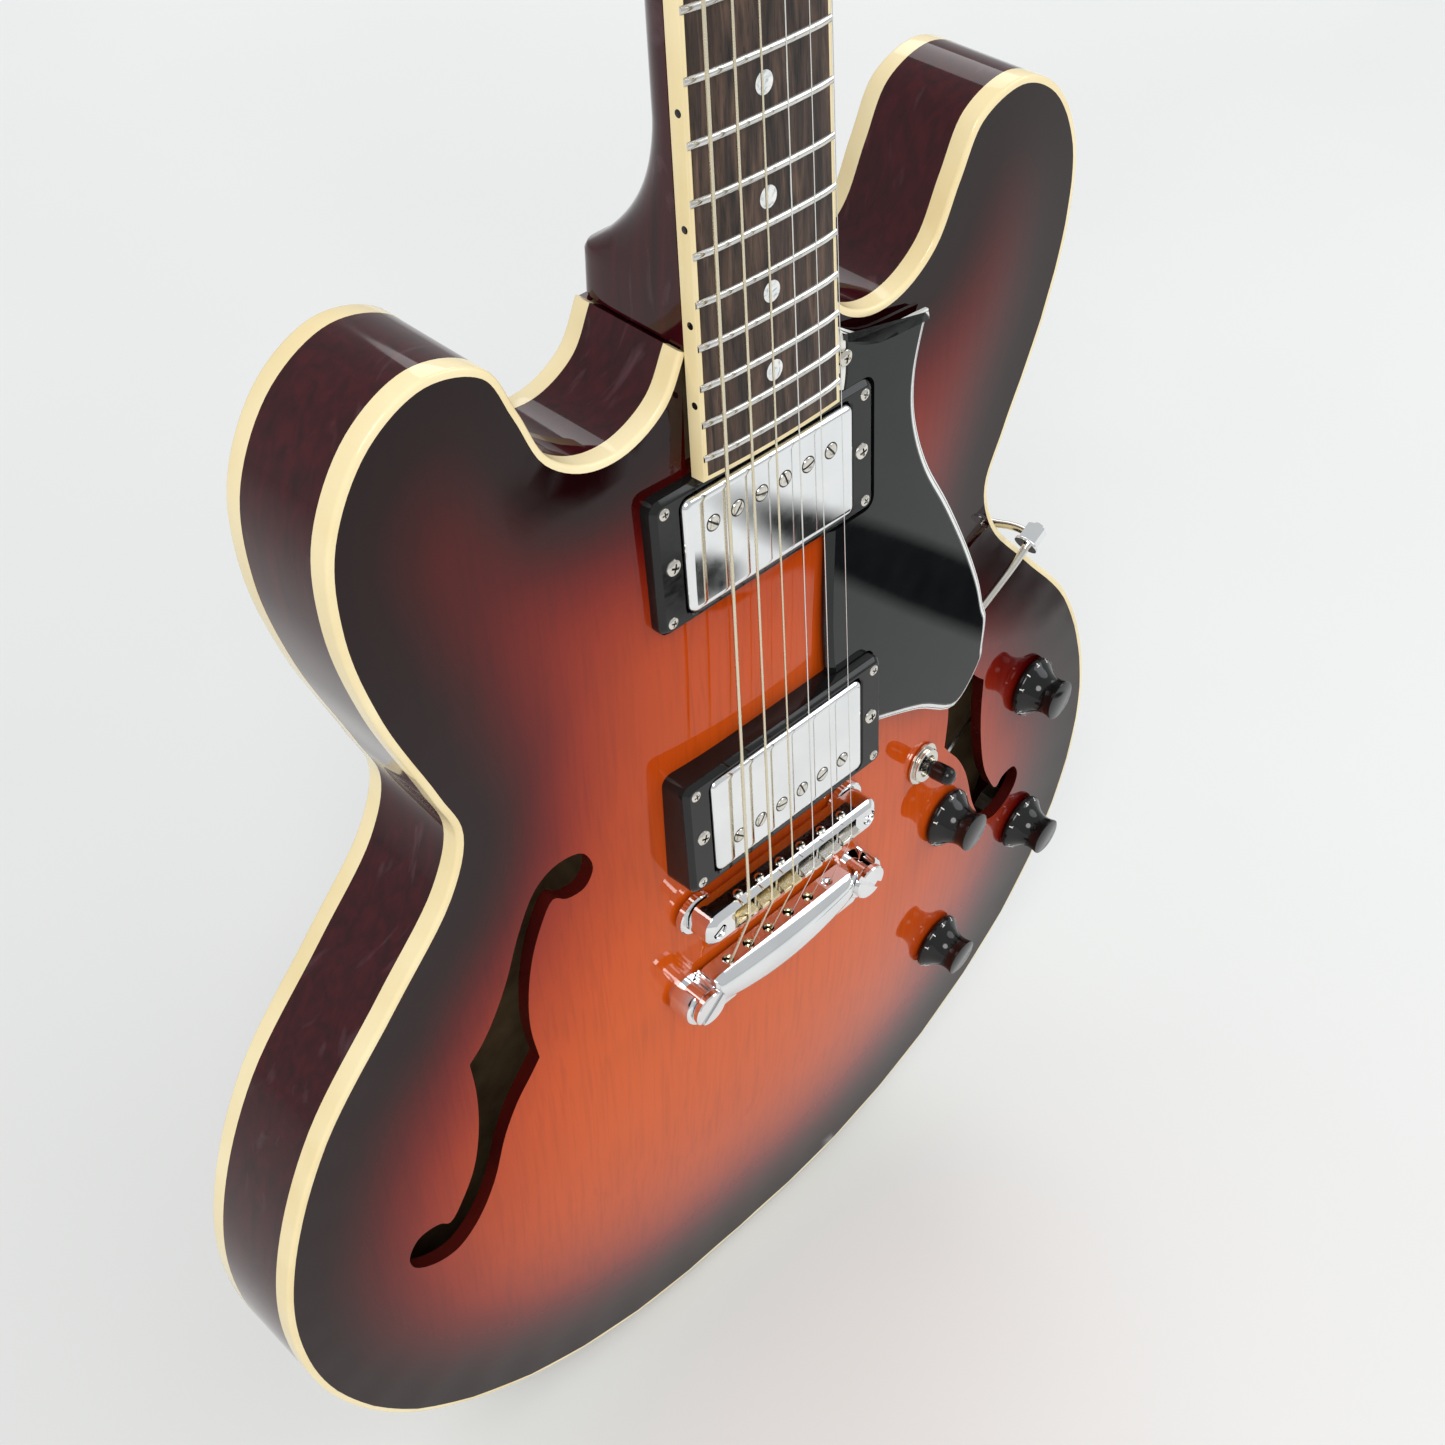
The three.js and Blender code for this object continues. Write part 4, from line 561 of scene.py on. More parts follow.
def plan_mesh(border, holes, step):
    """Points and triangles that fill a border, less its holes, with a grid of a step inside."""
    xs = np.arange(-BODY_HALF_WIDTH, BODY_HALF_WIDTH, step)
    zs = np.arange(BODY_BOTTOM, BODY_BOTTOM + BODY_LENGTH, step)
    grid = np.array([(x, z) for x in xs for z in zs])
    grid = grid[inside(grid, border)]
    grid = grid[edge_distance(grid) > EDGE_CLEARANCE]
    for hole in holes:
        gap = np.min(np.linalg.norm(grid[:, None] - np.array(hole)[None], axis=2), axis=1)
        grid = grid[~(inside(grid, hole) | (gap < HOLE_CLEARANCE))]
    points, edges = [], []
    for loop in (border, *holes):
        start = len(points)
        edges += [(start + i, start + (i + 1) % len(loop)) for i in range(len(loop))]
        points += loop
    points += [tuple(p) for p in grid]
    found, _, triangles, *_ = delaunay_2d_cdt([Vector(p) for p in points], edges, [], 0, 1e-4)
    plan = np.array([tuple(p) for p in found])
    corners = np.array([tuple(t) for t in triangles])
    middles = plan[corners].mean(axis=1)
    keep = inside(middles, border)
    for hole in holes:
        keep &= ~inside(middles, hole)
    return plan, [tuple(c) for c in corners[keep]]


def arched_plate(name, holes, crest, level, thickness, finish_names, replaces, step):
    """A bent plate on the outline, with holes: outer faces, walls and inner faces take three finishes."""
    plan, faces = plan_mesh([tuple(p) for p in body_outline(BINDING_WIDTH)], holes, step)
    sides = {edge for a, b, c in faces for edge in ((a, b), (b, c), (c, a))}
    rims = [edge for edge in sides if edge[::-1] not in sides]
    count = len(plan)
    inward = thickness if crest > 0 else -thickness
    outer = [(x, front_y(level + crest * share), z) for (x, z), share in zip(plan, arch(plan))]
    inner = [(x, y + inward, z) for x, y, z in outer]
    inner_faces = [(a + count, c + count, b + count) for a, b, c in faces]
    walls = [(b, a, a + count, b + count) for a, b in sorted(rims)]
    mesh = new_mesh(name, (outer + inner, faces + inner_faces + walls))
    burst = mesh.attributes.new("burst", "FLOAT", "POINT")
    distance = edge_distance(plan) / BURST_REACH
    burst.data.foreach_set("value", np.concatenate([distance, distance]).astype(np.float32))
    dress(link(name, mesh), finish_names, "guitar", replaces, smooth=40)
    mesh.polygons.foreach_set("material_index", np.repeat([0, 2, 1], [len(faces), len(faces), len(walls)]))


# The f-holes' outline as shares, whose two notches in the middle keep their corners

SOUND_HOLE = [
    (0.006, 0.933), (0.037, 0.985), (0.144, 0.997), (0.244, 0.962), (0.336, 0.865), (0.404, 0.767),
    (0.477, 0.685), (0.543, 0.629), (0.608, 0.591), (0.604, 0.497), (0.62, 0.388), (0.666, 0.267),
    (0.73, 0.185), (0.803, 0.125), (0.847, 0.145), (0.944, 0.14), (0.991, 0.091), (0.983, 0.053),
    (0.94, 0.023), (0.856, 0.003), (0.777, 0.011), (0.682, 0.069), (0.596, 0.167), (0.521, 0.301),
    (0.448, 0.385), (0.374, 0.443), (0.33, 0.479), (0.346, 0.574), (0.338, 0.659), (0.3, 0.767),
    (0.242, 0.853), (0.179, 0.908), (0.124, 0.888), (0.044, 0.892),
]
SOUND_HOLE_CORNERS = (8, 26)
HOLE_WIDTH, HOLE_LENGTH, HOLE_X, HOLE_DROP = 90, 150, 73, 95


def cornered_curve(rows, corners, steps):
    """A closed curve through rows that keeps its corners."""
    plan = []
    for start, end in zip(corners, (*corners[1:], corners[0] + len(rows))):
        part = (rows + rows)[start:end + 1]
        plan += [tuple(p) for p in curve_through(part, steps)[0][:-1]]
    return plan


def sound_hole(sign):
    plan = cornered_curve(SOUND_HOLE, SOUND_HOLE_CORNERS, 4)
    start_z = BRIDGE_Z - HOLE_DROP
    return [(sign * (HOLE_X + x * HOLE_WIDTH), start_z + z * HOLE_LENGTH) for x, z in plan][::sign]


def pocket(name):
    """The room in the top for a pickup and its ears."""
    low, high = node_box(name)
    middle, half = (low.z + high.z) / 2, (high.z - low.z) / 2 + 1
    wide, narrow, ear = 43.5, 36.5, 7
    right = [(narrow, -half), (narrow, -ear), (wide, -ear), (wide, ear), (narrow, ear), (narrow, half)]
    return [(x, middle + z) for x, z in right + [(-x, -z) for x, z in right]]


KNOB_HOLE, SWITCH_HOLE, POST_HOLE, STUD_HOLE, BOARD_SLOT_END = 5, 6, 2.9, 4.3, 472


def top_holes():
    holes = [sound_hole(sign) for sign in SIDES.values()] + [pocket(name) for name in RING_TOPS]
    rounds = [(f"knob_{k}_turn", KNOB_HOLE) for k in (1, 2, 3, 4)]
    for name, radius in [*rounds, ("switch_throw", SWITCH_HOLE)]:
        place = Vector(joints[name]["pos_m"]) / MM
        holes.append(circle(radius, place.x, place.z, 20))
    for sign in SIDES.values():
        holes.append(circle(POST_HOLE, sign * POST_X, BRIDGE_Z, 16))
        holes.append(circle(STUD_HOLE, sign * STUD_X, BRIDGE_Z - TAIL_DROP, 16))
    half = BOARD_END_HALF + SEAM
    low, high = BRIDGE_Z + BOARD_START - 1, BOARD_SLOT_END
    return [*holes, [(-half, low), (half, low), (half, high), (-half, high)]]


arched_plate("top_plate_shell", top_holes(), TOP_CREST, 0, TOP_THICKNESS,
             ["sunburst", "hole_wall", "bare_wood"], ["top_plate"], step=6.5)
arched_plate("back_plate_shell", [], -BACK_CREST, -RIM_DEPTH, BACK_THICKNESS,
             ["wine", "wine", "bare_wood"], ["back_plate"], step=9)


def swept(section):
    """A ribbon along the outline whose section is (inset, height) pairs."""
    lines = [body_outline(amount, 8) for amount, _ in section]
    return loft([
        [(x, front_y(height), z) for (x, z), (_, height) in zip(places, section)]
        for places in zip(*lines)
    ])


def binding_section(face, away):
    """A binding's section, with the outer corner rounded at its face."""
    arc = [
        (BINDING_CORNER * (1 - math.sin(a)), face - away * BINDING_CORNER * (1 - math.cos(a)))
        for a in np.linspace(math.pi / 2, 0, 5)
    ]
    edge = face - away * BINDING_HEIGHT
    return arc + [(BINDING_WIDTH, face), (BINDING_WIDTH, edge), (0, edge)]


for side, face, away in (("top", 0, 1), ("back", -RIM_DEPTH, -1)):
    strip = swept(binding_section(face, away))
    piece(f"{side}_binding_strip", strip, "ivory", replaces=[f"{side}_binding"], smooth=40)
RIM_INNER, LINING_INNER = 5, 7.4
rim_low, rim_high = BINDING_HEIGHT - RIM_DEPTH, -BINDING_HEIGHT
piece("rim_side", swept([
    (0.05, rim_low), (0.05, rim_high), (RIM_INNER, rim_high), (LINING_INNER, rim_high), (LINING_INNER, -14),
    (RIM_INNER, -17), (RIM_INNER, -24.5), (LINING_INNER, -27.5), (LINING_INNER, rim_low),
]), "wine", replaces=["rim"], smooth=40)

# Fingerboard: its surface is a part of a cylinder, in the neck's frame


def drop(x):
    return BOARD_RADIUS - math.sqrt(BOARD_RADIUS ** 2 - x * x)


def board_half(s):
    share = (SCALE_LENGTH - s) / (SCALE_LENGTH - BOARD_START)
    return NUT_HALF + (BOARD_END_HALF - NUT_HALF) * share


def evenly(half, steps):
    return [half * (2 * i / steps - 1) for i in range(steps + 1)]


def across(half, section, steps=10):
    """A piece over the board's width, from (depth, s) pairs for a drop."""
    return loft([[(x, y, s) for y, s in section(drop(x))] for x in evenly(half, steps)])


BOARD_EDGE = 1.6


def board_ring(s):
    half = board_half(s) - BOARD_EDGE - 0.05
    top = [(x, drop(x), s) for x in evenly(half, 12)]
    return top + [(half, BOARD_THICKNESS, s), (-half, BOARD_THICKNESS, s)]


wood = loft([board_ring(s) for s in (BOARD_START + BOARD_EDGE + 0.05, 400, SCALE_LENGTH)])
piece("fingerboard_wood", wood, "rosewood", matrix=NECK, replaces=["fingerboard"], smooth=20)
FRET_RISE, FRET_HALF, FRET_SUNK, FRET_END_FALL = 1.05, 1.15, 0.3, 0.55


def fret_shape(number):
    s = SCALE_LENGTH * 2 ** (-number / 12)
    half = board_half(s) - 0.25
    arc = [(FRET_RISE * math.sin(a), FRET_HALF * math.cos(a)) for a in np.linspace(0, math.pi, 9)]

    def section(fall):
        foot = fall + FRET_SUNK
        over = [(fall - up, s + along) for up, along in arc]
        return [(foot, s + FRET_HALF), *over, (foot, s - FRET_HALF)]
    points, faces = across(half, section)
    ends = [(x, y + FRET_END_FALL * (abs(x) > half - 0.01 and y < drop(x)), z) for x, y, z in points]
    return ends, faces


piece("frets", joined(*(fret_shape(n) for n in range(1, FRET_COUNT + 1))), "fret", matrix=NECK, smooth=50)


def binding_ring(x, s, inward_x, inward_s):
    top, inner_x, inner_s = drop(x), x + inward_x, s + inward_s
    return [
        (x, top + 0.35, s), (x + inward_x * 0.2, top, s + inward_s * 0.2), (inner_x, top, inner_s),
        (inner_x, BOARD_THICKNESS, inner_s), (x, BOARD_THICKNESS, s),
    ]


END_SHARES = (-0.6, -0.3, 0, 0.3, 0.6)
piece("fingerboard_edge", loft([
    binding_ring(-NUT_HALF, SCALE_LENGTH, BOARD_EDGE, 0),
    binding_ring(-BOARD_END_HALF, BOARD_START, BOARD_EDGE, BOARD_EDGE),
    *(binding_ring(BOARD_END_HALF * share, BOARD_START, 0, BOARD_EDGE) for share in END_SHARES),
    binding_ring(BOARD_END_HALF, BOARD_START, -BOARD_EDGE, BOARD_EDGE),
    binding_ring(NUT_HALF, SCALE_LENGTH, -BOARD_EDGE, 0),
]), "ivory", matrix=NECK, replaces=["fingerboard_binding"], smooth=50)


def disc(radius, thickness, steps=24):
    return lathe([
        (radius, -thickness), (radius, thickness * 0.4), (radius * 0.9, thickness), (0.001, thickness),
    ], steps)


OCTAVE, DOT_DEPTH = 12, 0.06
MARKED = (3, 5, 7, 9, OCTAVE, 15, 17, 19, 21)
pearls, side_dots = [], []
for number in MARKED:
    s = SCALE_LENGTH * (2 ** (-number / 12) + 2 ** (-(number - 1) / 12)) / 2
    for x in (-12, 12) if number == OCTAVE else (0,):
        pearls.append(moved(disc(3.1, DOT_DEPTH), placed((x, drop(x) - 0.02, s))))
    for shift in (-4, 4) if number == OCTAVE else (0,):
        side_place = placed((-board_half(s + shift), 3.4, s + shift), turn(-90, "Z"))
        side_dots.append(moved(disc(1.1, DOT_DEPTH, 16), side_place))
piece("pearl_dots", joined(*pearls), "pearl", matrix=NECK)
piece("side_dots", joined(*side_dots), "black", matrix=NECK)

OVER_FRETS, OUTER_NUT_X = 1.4, 17.8
NUT_RISE = OVER_FRETS - STRING_DIAMETERS[0] / 2 - SEAM + drop(OUTER_NUT_X)
NUT_SECTION = [(0, 0.5), (0.6, 0), (3.7, 0), (5, 1.2)]
piece("nut_block", across(NUT_HALF, lambda fall: [
    *((fall - NUT_RISE + down, NUT_START + along) for along, down in NUT_SECTION),
    (BOARD_THICKNESS, NUT_START + NUT_LENGTH), (BOARD_THICKNESS, NUT_START),
], 14), "bone", matrix=NECK, replaces=["nut"], smooth=50)

# Neck: one loft from the heel's foot to the nut, then the headstock

JOINT_Z = BODY_BOTTOM + OUTLINE[-1][1] * BODY_LENGTH + SEAM
HEEL_START = (JOINT_Z - BRIDGE_Z) / math.cos(NECK_ANGLE)
HEEL_LENGTH, HEEL_SWEEP, HEEL_STEPS, THIN_FROM = 15, 44, 14, 264
SHAFT_START = HEEL_START + HEEL_LENGTH
SHAFT_DEPTH, NUT_DEPTH = 17.5, 15


def belly(s, depth, boxy, lean):
    """Half of a rounded section under the board: boxy sharpens its corners, lean stands it on the body."""
    half = board_half(min(s, SCALE_LENGTH))
    ring = []
    for i in range(33):
        angle = i / 32 * math.pi
        c, d = math.cos(angle), math.sin(angle)
        x = half * math.copysign(abs(c) ** (1 - 0.82 * boxy), c) * (1 - 0.05 * boxy * d ** 3)
        y = UNDER_BOARD + depth * d ** (0.8 - 0.52 * boxy)
        ring.append((x, y, s + lean * y * math.tan(NECK_ANGLE)))
    return ring


def heel_depth(s):
    """From the board's underside to a little behind the back of the rim."""
    behind = BOARD_PLANE + RIM_DEPTH - s * math.sin(NECK_ANGLE)
    return behind / math.cos(NECK_ANGLE) - UNDER_BOARD - SEAM + 1


heel_end = heel_depth(SHAFT_START) - 1
neck_rings = [belly(s, heel_depth(s), 1.08, 1) for s in (HEEL_START, SHAFT_START - 4, SHAFT_START - 2)]
neck_rings.append(belly(SHAFT_START, heel_end + 0.2, 1.05, 0.95))
for i in range(1, HEEL_STEPS + 1):
    left = 1 - i / HEEL_STEPS
    depth = SHAFT_DEPTH + (heel_end - 1 - SHAFT_DEPTH) * left ** 2.2
    neck_rings.append(belly(SHAFT_START + HEEL_SWEEP * (1 - left), depth, left ** 1.2, left))
for s in (300, 420, 540, 610, SHAFT_END + 1):
    thinning = (SHAFT_DEPTH - NUT_DEPTH) * (s - THIN_FROM) / (SHAFT_END - THIN_FROM)
    neck_rings.append(belly(s, SHAFT_DEPTH - thinning, 0, 0))
piece("neck_shaft", loft(neck_rings), "wine", matrix=NECK, replaces=["neck"], smooth=50)

HEAD_HALF, HEAD_LENGTH, HEAD_THICKNESS = 43, 182, 15
HEAD_ROWS = [
    (0.5, -0.005), (0.56, 0.06), (0.8, 0.2), (0.93, 0.6), (1, 0.93), (0.82, 0.975), (0.42, 0.995), (0, 1),
]
TUNER_PITCH, POST_INSET = 42, 12
TUNERS = []
for k in range(6):
    s = TUNER_PITCH * (1 + min(k, 5 - k))
    side = -1 if k < 3 else 1
    share = np.interp(s / HEAD_LENGTH, [row[1] for row in HEAD_ROWS], [row[0] for row in HEAD_ROWS])
    edge = float(share) * HEAD_HALF
    TUNERS.append({"side": side, "s": s, "edge": edge, "x": side * (edge - POST_INSET), "number": 6 - k})
head_plan = mirrored([(x * HEAD_HALF, s * HEAD_LENGTH) for x, s in curve_through(HEAD_ROWS, 5)[0]])
post_bores = [prism(circle(3.6, t["x"], t["s"], 24), -30, 20) for t in TUNERS]
head_plate = softened(head_plan, -HEAD_THICKNESS, 0, 1.5, 1.2)
piece("headstock", carved(head_plate, *post_bores), "wine", matrix=HEAD, smooth=30)

TRUSS_ROWS = [(1, 0), (0.95, 0.25), (0.5, 0.6), (0.42, 0.8), (0.28, 0.95), (0, 1)]
TRUSS_HALF, TRUSS_LENGTH, TRUSS_START = 11, 46, 3
cover_side = [(x * TRUSS_HALF, TRUSS_START + s * TRUSS_LENGTH) for x, s in curve_through(TRUSS_ROWS, 5)[0]]
cover_plate = softened(mirrored(cover_side), 0.25, 2.1, 0.6)
piece("truss_cover_plate", cover_plate, "black", matrix=HEAD, replaces=["truss_rod_cover"], smooth=40)

# Screws: a domed head with a cross or a slot, made once and stamped

SLOT_FLOOR = -0.25


def bar_cutter(half_x, half_z, bottom, top=20.0, degrees=0.0):
    plan = rounded(half_x, half_z, min(half_x, half_z) * 0.3, steps=2)
    return moved(prism(plan, bottom, top), turn(degrees, "Y"))


def screw_head(radius, rise, cross):
    """A screw's head from 0 up, sunk 0.6 below."""
    dome = [(1, 0.15), (0.93, 0.55), (0.7, 0.87), (0.35, 1)]
    head = lathe([(radius, -0.6), *((radius * r, rise * d) for r, d in dome), (0.001, rise)], 24)
    if cross:
        long, short = radius * 0.56, radius * 0.13
        return carved(head, bar_cutter(long, short, SLOT_FLOOR), bar_cutter(short, long, SLOT_FLOOR))
    return carved(head, bar_cutter(radius * 1.3, radius * 0.14, SLOT_FLOOR))


def stamped(template, places, turns=None):
    """Copies of a shape at places (x, height, z), each turned by its own angle in radians."""
    turns = turns or [0.35 + 1.1 * i for i in range(len(places))]
    return joined(*(
        moved(template, placed((x, -height, z), Matrix.Rotation(angle, 3, "Y")))
        for (x, height, z), angle in zip(places, turns)
    ))


SMALL_CROSS = screw_head(2.0, 0.9, True)
MIDDLE_CROSS = screw_head(2.7, 1.2, True)
POLE = screw_head(2.35, 0.5, False)
cover_screws = stamped(SMALL_CROSS, [(-7.5, 2.0, 8), (7.5, 2.0, 8), (0, 2.0, 43)])
piece("truss_cover_screws", cover_screws, "nickel", matrix=HEAD)

# Pickups: each ring stands on the arch, the cover and poles ride with the pickup


def on_arch(x, s):
    """The neck frame's depth where the top lies under a point."""
    depth = 0.0
    for _ in range(4):
        z = BRIDGE_Z + s * math.cos(NECK_ANGLE) - depth * math.sin(NECK_ANGLE)
        height = TOP_CREST * float(arch([(x, z)])[0]) + 0.02
        depth = (BOARD_PLANE - height - s * math.sin(NECK_ANGLE)) / math.cos(NECK_ANGLE)
    return depth


POLE_TURNS = [0.7, 2.3, 0.2, 1.2, 2.9, 0.9]
RING_HALF_WIDTH, RING_HALF_LENGTH, WINDOW_HALF_WIDTH, WINDOW_HALF_LENGTH = 45.75, 22.9, 35.5, 19.75
RING_SCREW_X, RING_SCREW_S, HEIGHT_SCREW_X, POLE_SPACING = 41.3, 18.6, 39.6, 9.8
COVER_HALF_WIDTH, COVER_HALF_LENGTH, COVER_DEPTH, EAR_THICKNESS, COVER_ROUND = 35, 19.25, 18.5, 1.6, 2.2


def mounting_ring(s, ring_top):
    """A hollow ring with a chamfered outer edge, whose foot follows the arch."""
    outer = rounded(RING_HALF_WIDTH, RING_HALF_LENGTH, 4, s)
    window = rounded(WINDOW_HALF_WIDTH, WINDOW_HALF_LENGTH, 3.2, s)

    def level(plan, down):
        return [(x, down - ring_top, z) for x, z in plan]

    def foot(plan):
        return [(x, on_arch(x, z), z) for x, z in plan]
    rings = [
        foot(outer), level(outer, 1.9), level(inset(outer, 0.15), 1.5), level(inset(outer, 1.5), 0.2),
        level(inset(outer, 1.9), 0), level(inset(window, -0.5), 0), level(window, 0.5), foot(window),
    ]
    return loft(rings + rings[:1], caps=False)


def pickup_cover(s, top):
    """A rounded cover on its flat ears."""
    bottom = top - COVER_DEPTH
    levels = [(bottom, 0), (top - COVER_ROUND, 0)]
    for angle in np.linspace(0.2, math.pi / 2, 6):
        levels.append((top - COVER_ROUND * (1 - math.sin(angle)), 1.9 * (1 - math.cos(angle))))
    levels.append((top, 2.6))
    ears = prism(rounded(43, 6, 2, s), bottom, bottom + EAR_THICKNESS)
    return joined(plate(rounded(COVER_HALF_WIDTH, COVER_HALF_LENGTH, 3, s), levels), ears)


for name, (s, ring_top) in RING_TOPS.items():
    cover_top = COVER_TOPS[name]
    corners = [(a * RING_SCREW_X, ring_top - 0.35, s + b * RING_SCREW_S) for a in (-1, 1) for b in (-1, 1)]
    middles = [(x, ring_top - 0.2, s) for x in (-HEIGHT_SCREW_X, HEIGHT_SCREW_X)]
    poles = [((k - 2.5) * POLE_SPACING, cover_top, s + POLE_ROWS[name]) for k in range(6)]
    ring = mounting_ring(s, ring_top)
    piece(f"{name}_mounting_ring", ring, "black", matrix=NECK, replaces=[f"{name}_ring"], smooth=24)
    piece(f"{name}_ring_screws", stamped(SMALL_CROSS, corners), "nickel", matrix=NECK)
    piece(f"{name}_height_screws", stamped(MIDDLE_CROSS, middles), "nickel", matrix=NECK)
    piece(f"{name}_cover", pickup_cover(s, cover_top), "chrome", name, NECK, [name], smooth=26)
    piece(f"{name}_pole_wells", stamped(disc(2.75, 0.05), poles, [0] * len(poles)), "black", name, NECK)
    piece(f"{name}_poles", stamped(POLE, poles, POLE_TURNS), "nickel", name, NECK)

# Strings' places across the bridge

OUTER_SADDLE_X, OVER_BOARD = 25.4, 4
STRINGS = []
for k, diameter in enumerate(STRING_DIAMETERS):
    share = k / 5 - 0.5
    x, nut_x = share * 2 * OUTER_SADDLE_X, share * 2 * OUTER_NUT_X
    STRINGS.append({
        "number": 6 - k, "radius": diameter / 2, "x": x, "nut_x": nut_x,
        "over_bridge": BOARD_PLANE + OVER_BOARD + drop(OUTER_SADDLE_X) - drop(x),
        "over_nut": OVER_FRETS + drop(OUTER_NUT_X) - drop(nut_x),
    })

# Bridge: a bar with notches, its saddles with their screws, and posts with knurled wheels

BRIDGE_TOP = 24
BAR_EDGE = [(-2, 0), (-1.4, 0.35), (-0.25, 1.9), (0, 2.3)]
bridge_bottom = -node_box("bridge_body")[1].y - RIM_DEPTH / 2
bar_levels = [(bridge_bottom, 0.5), (bridge_bottom + 0.5, 0)]
bar_levels += [(BRIDGE_TOP + up, amount) for up, amount in BAR_EDGE]
notches = [prism(rounded(4.6, 4.6, 0.4, BRIDGE_Z, s["x"], 2), 18.6, 40) for s in STRINGS]
post_holes = [prism(circle(2.9, sign * POST_X, BRIDGE_Z, 24), 0, 40) for sign in SIDES.values()]
bar = carved(plate(rounded(42, 7, 5.6, BRIDGE_Z, steps=8), bar_levels), *notches, *post_holes)
piece("bridge_bar", bar, "chrome", "bridge", FRONT, ["bridge_body"], smooth=30)
WHEEL_RADIUS, WHEEL_BEVEL, POST_RADIUS = 8, 0.4, 2.6
for side, sign in SIDES.items():
    foot = bridge_bottom - 3.3
    brim = WHEEL_RADIUS - WHEEL_BEVEL
    knurled = lathe([
        (POST_RADIUS, foot + 0.01), (brim, foot), (WHEEL_RADIUS, foot + WHEEL_BEVEL),
        (WHEEL_RADIUS, foot + 3 - WHEEL_BEVEL), (brim, foot + 3), (POST_RADIUS, foot + 3),
    ], 72, 0.22)
    post_top = BRIDGE_TOP - 0.6
    post = lathe([(POST_RADIUS, -16), (POST_RADIUS, post_top - 0.3), (2.3, post_top), (0.001, post_top)], 28)
    slot = moved(bar_cutter(4, 0.45, post_top - 1.2, 40), Matrix.Rotation(0.5 * sign, 3, "Y"))
    slotted = carved(post, slot)
    piece(f"{side}_thumbwheel_post", joined(knurled, slotted), "chrome", f"{side}_thumbwheel",
          FRONT @ placed((sign * POST_X, 0, BRIDGE_Z)), [f"{side}_bridge_post"], smooth=30)

SADDLE_LOW, SADDLE_HIGH, SADDLE_SCREW_HEIGHT, SADDLE_SCREW_Z = 18.9, 22.8, 20.6, BRIDGE_Z + 7
SADDLE_SECTIONS = ((-4.3, 0), (-1.1, 0), (-0.35, 0.5), (0.35, 0.5), (1.1, 0), (4.3, 0))
for s in STRINGS:
    crest = s["over_bridge"] - s["radius"] + 0.35
    rings = []
    for x, notch in SADDLE_SECTIONS:
        top = crest - notch
        section = [
            (-2, SADDLE_LOW), (2, SADDLE_LOW), (2, SADDLE_HIGH), (0.7, top), (-0.7, top), (-2, SADDLE_HIGH),
        ]
        rings.append([(s["x"] + x, -height, BRIDGE_Z + z) for z, height in section])
    name = f"saddle_{s['number']}"
    finish = "brass" if s["number"] > 3 else "nickel"
    piece(f"{name}_block", loft(rings), finish, name, FRONT, [name], bevel=0.25)
saddle_screw = moved(joined(screw_head(1.75, 1.1, False), rod(1, -13, 0, 12)), turn(-90, "X"))
screw_places = [placed((s["x"], -SADDLE_SCREW_HEIGHT, SADDLE_SCREW_Z)) for s in STRINGS]
saddle_screws = joined(*(moved(saddle_screw, place) for place in screw_places))
piece("saddle_screws", saddle_screws, "nickel", "bridge", FRONT)

# Tailpiece: a flat face with six holes, a ridge that bows back, and notched ears on slotted studs

TAIL_FACE, TAIL_HALF, TAIL_TOP, TAIL_FACE_TOP, BALL_HEIGHT = -30.5, 35.5, 24.2, 19.2, 16.3
RIDGE = [
    (0, 0), (0.05, 0.28), (0.12, 0.55), (0.22, 0.8), (0.34, 0.96), (0.46, 1), (0.6, 0.95), (0.74, 0.8),
    (0.86, 0.55), (0.95, 0.2), (1, -0.25), (1, -0.6),
]
TAIL_BACK, TAIL_BOW, TAIL_SAG = 50.3, 6.8, 1.6
EAR_TOP, EAR_RADIUS, ARM_X, ARM_Z = 21.4, 8.7, 31, -39.5
tail_bottom = -node_box("tailpiece")[1].y - RIM_DEPTH / 2
tail_frame = FRONT @ placed((0, 0, BRIDGE_Z))


def tail_ring(x):
    share = abs(x) / TAIL_HALF
    fall = max(0, share - 0.93) / 0.07
    back = -(TAIL_BACK - TAIL_BOW * share ** 2)
    top = TAIL_TOP - TAIL_SAG * share ** 2 - 1.4 * fall ** 2
    face = TAIL_FACE - 0.8 * fall ** 2
    foot = [(back + 0.8, tail_bottom + 1.2), (back + 2.5, tail_bottom), (face - 0.6, tail_bottom),
            (face, tail_bottom + 0.6)]
    ridge = [(face + t * (back - face), TAIL_FACE_TOP + h * (top - TAIL_FACE_TOP)) for t, h in RIDGE]
    return [(x, -height, z) for z, height in foot + ridge]


def shifted(plan, x, z):
    return [(x + own_x, z + own_z) for own_x, own_z in plan]


def tail_ear(sign):
    """A round ear with a slot for its stud and room for the stud's flange."""
    x = sign * STUD_X
    ear = softened(circle(EAR_RADIUS, x, -TAIL_DROP, 40), tail_bottom, EAR_TOP, 0.8)
    slot = prism(shifted(rounded(4.8, 12, 4.7, 7.2), x, -TAIL_DROP), 0, 40)
    flange = prism(circle(7.4, x, -TAIL_DROP), 0, tail_bottom + 2.2)
    return carved(ear, slot, flange)


def tail_arm(sign):
    return softened(shifted(rounded(6.5, 7.2, 2), sign * ARM_X, ARM_Z), tail_bottom, EAR_TOP - 0.6, 0.8)


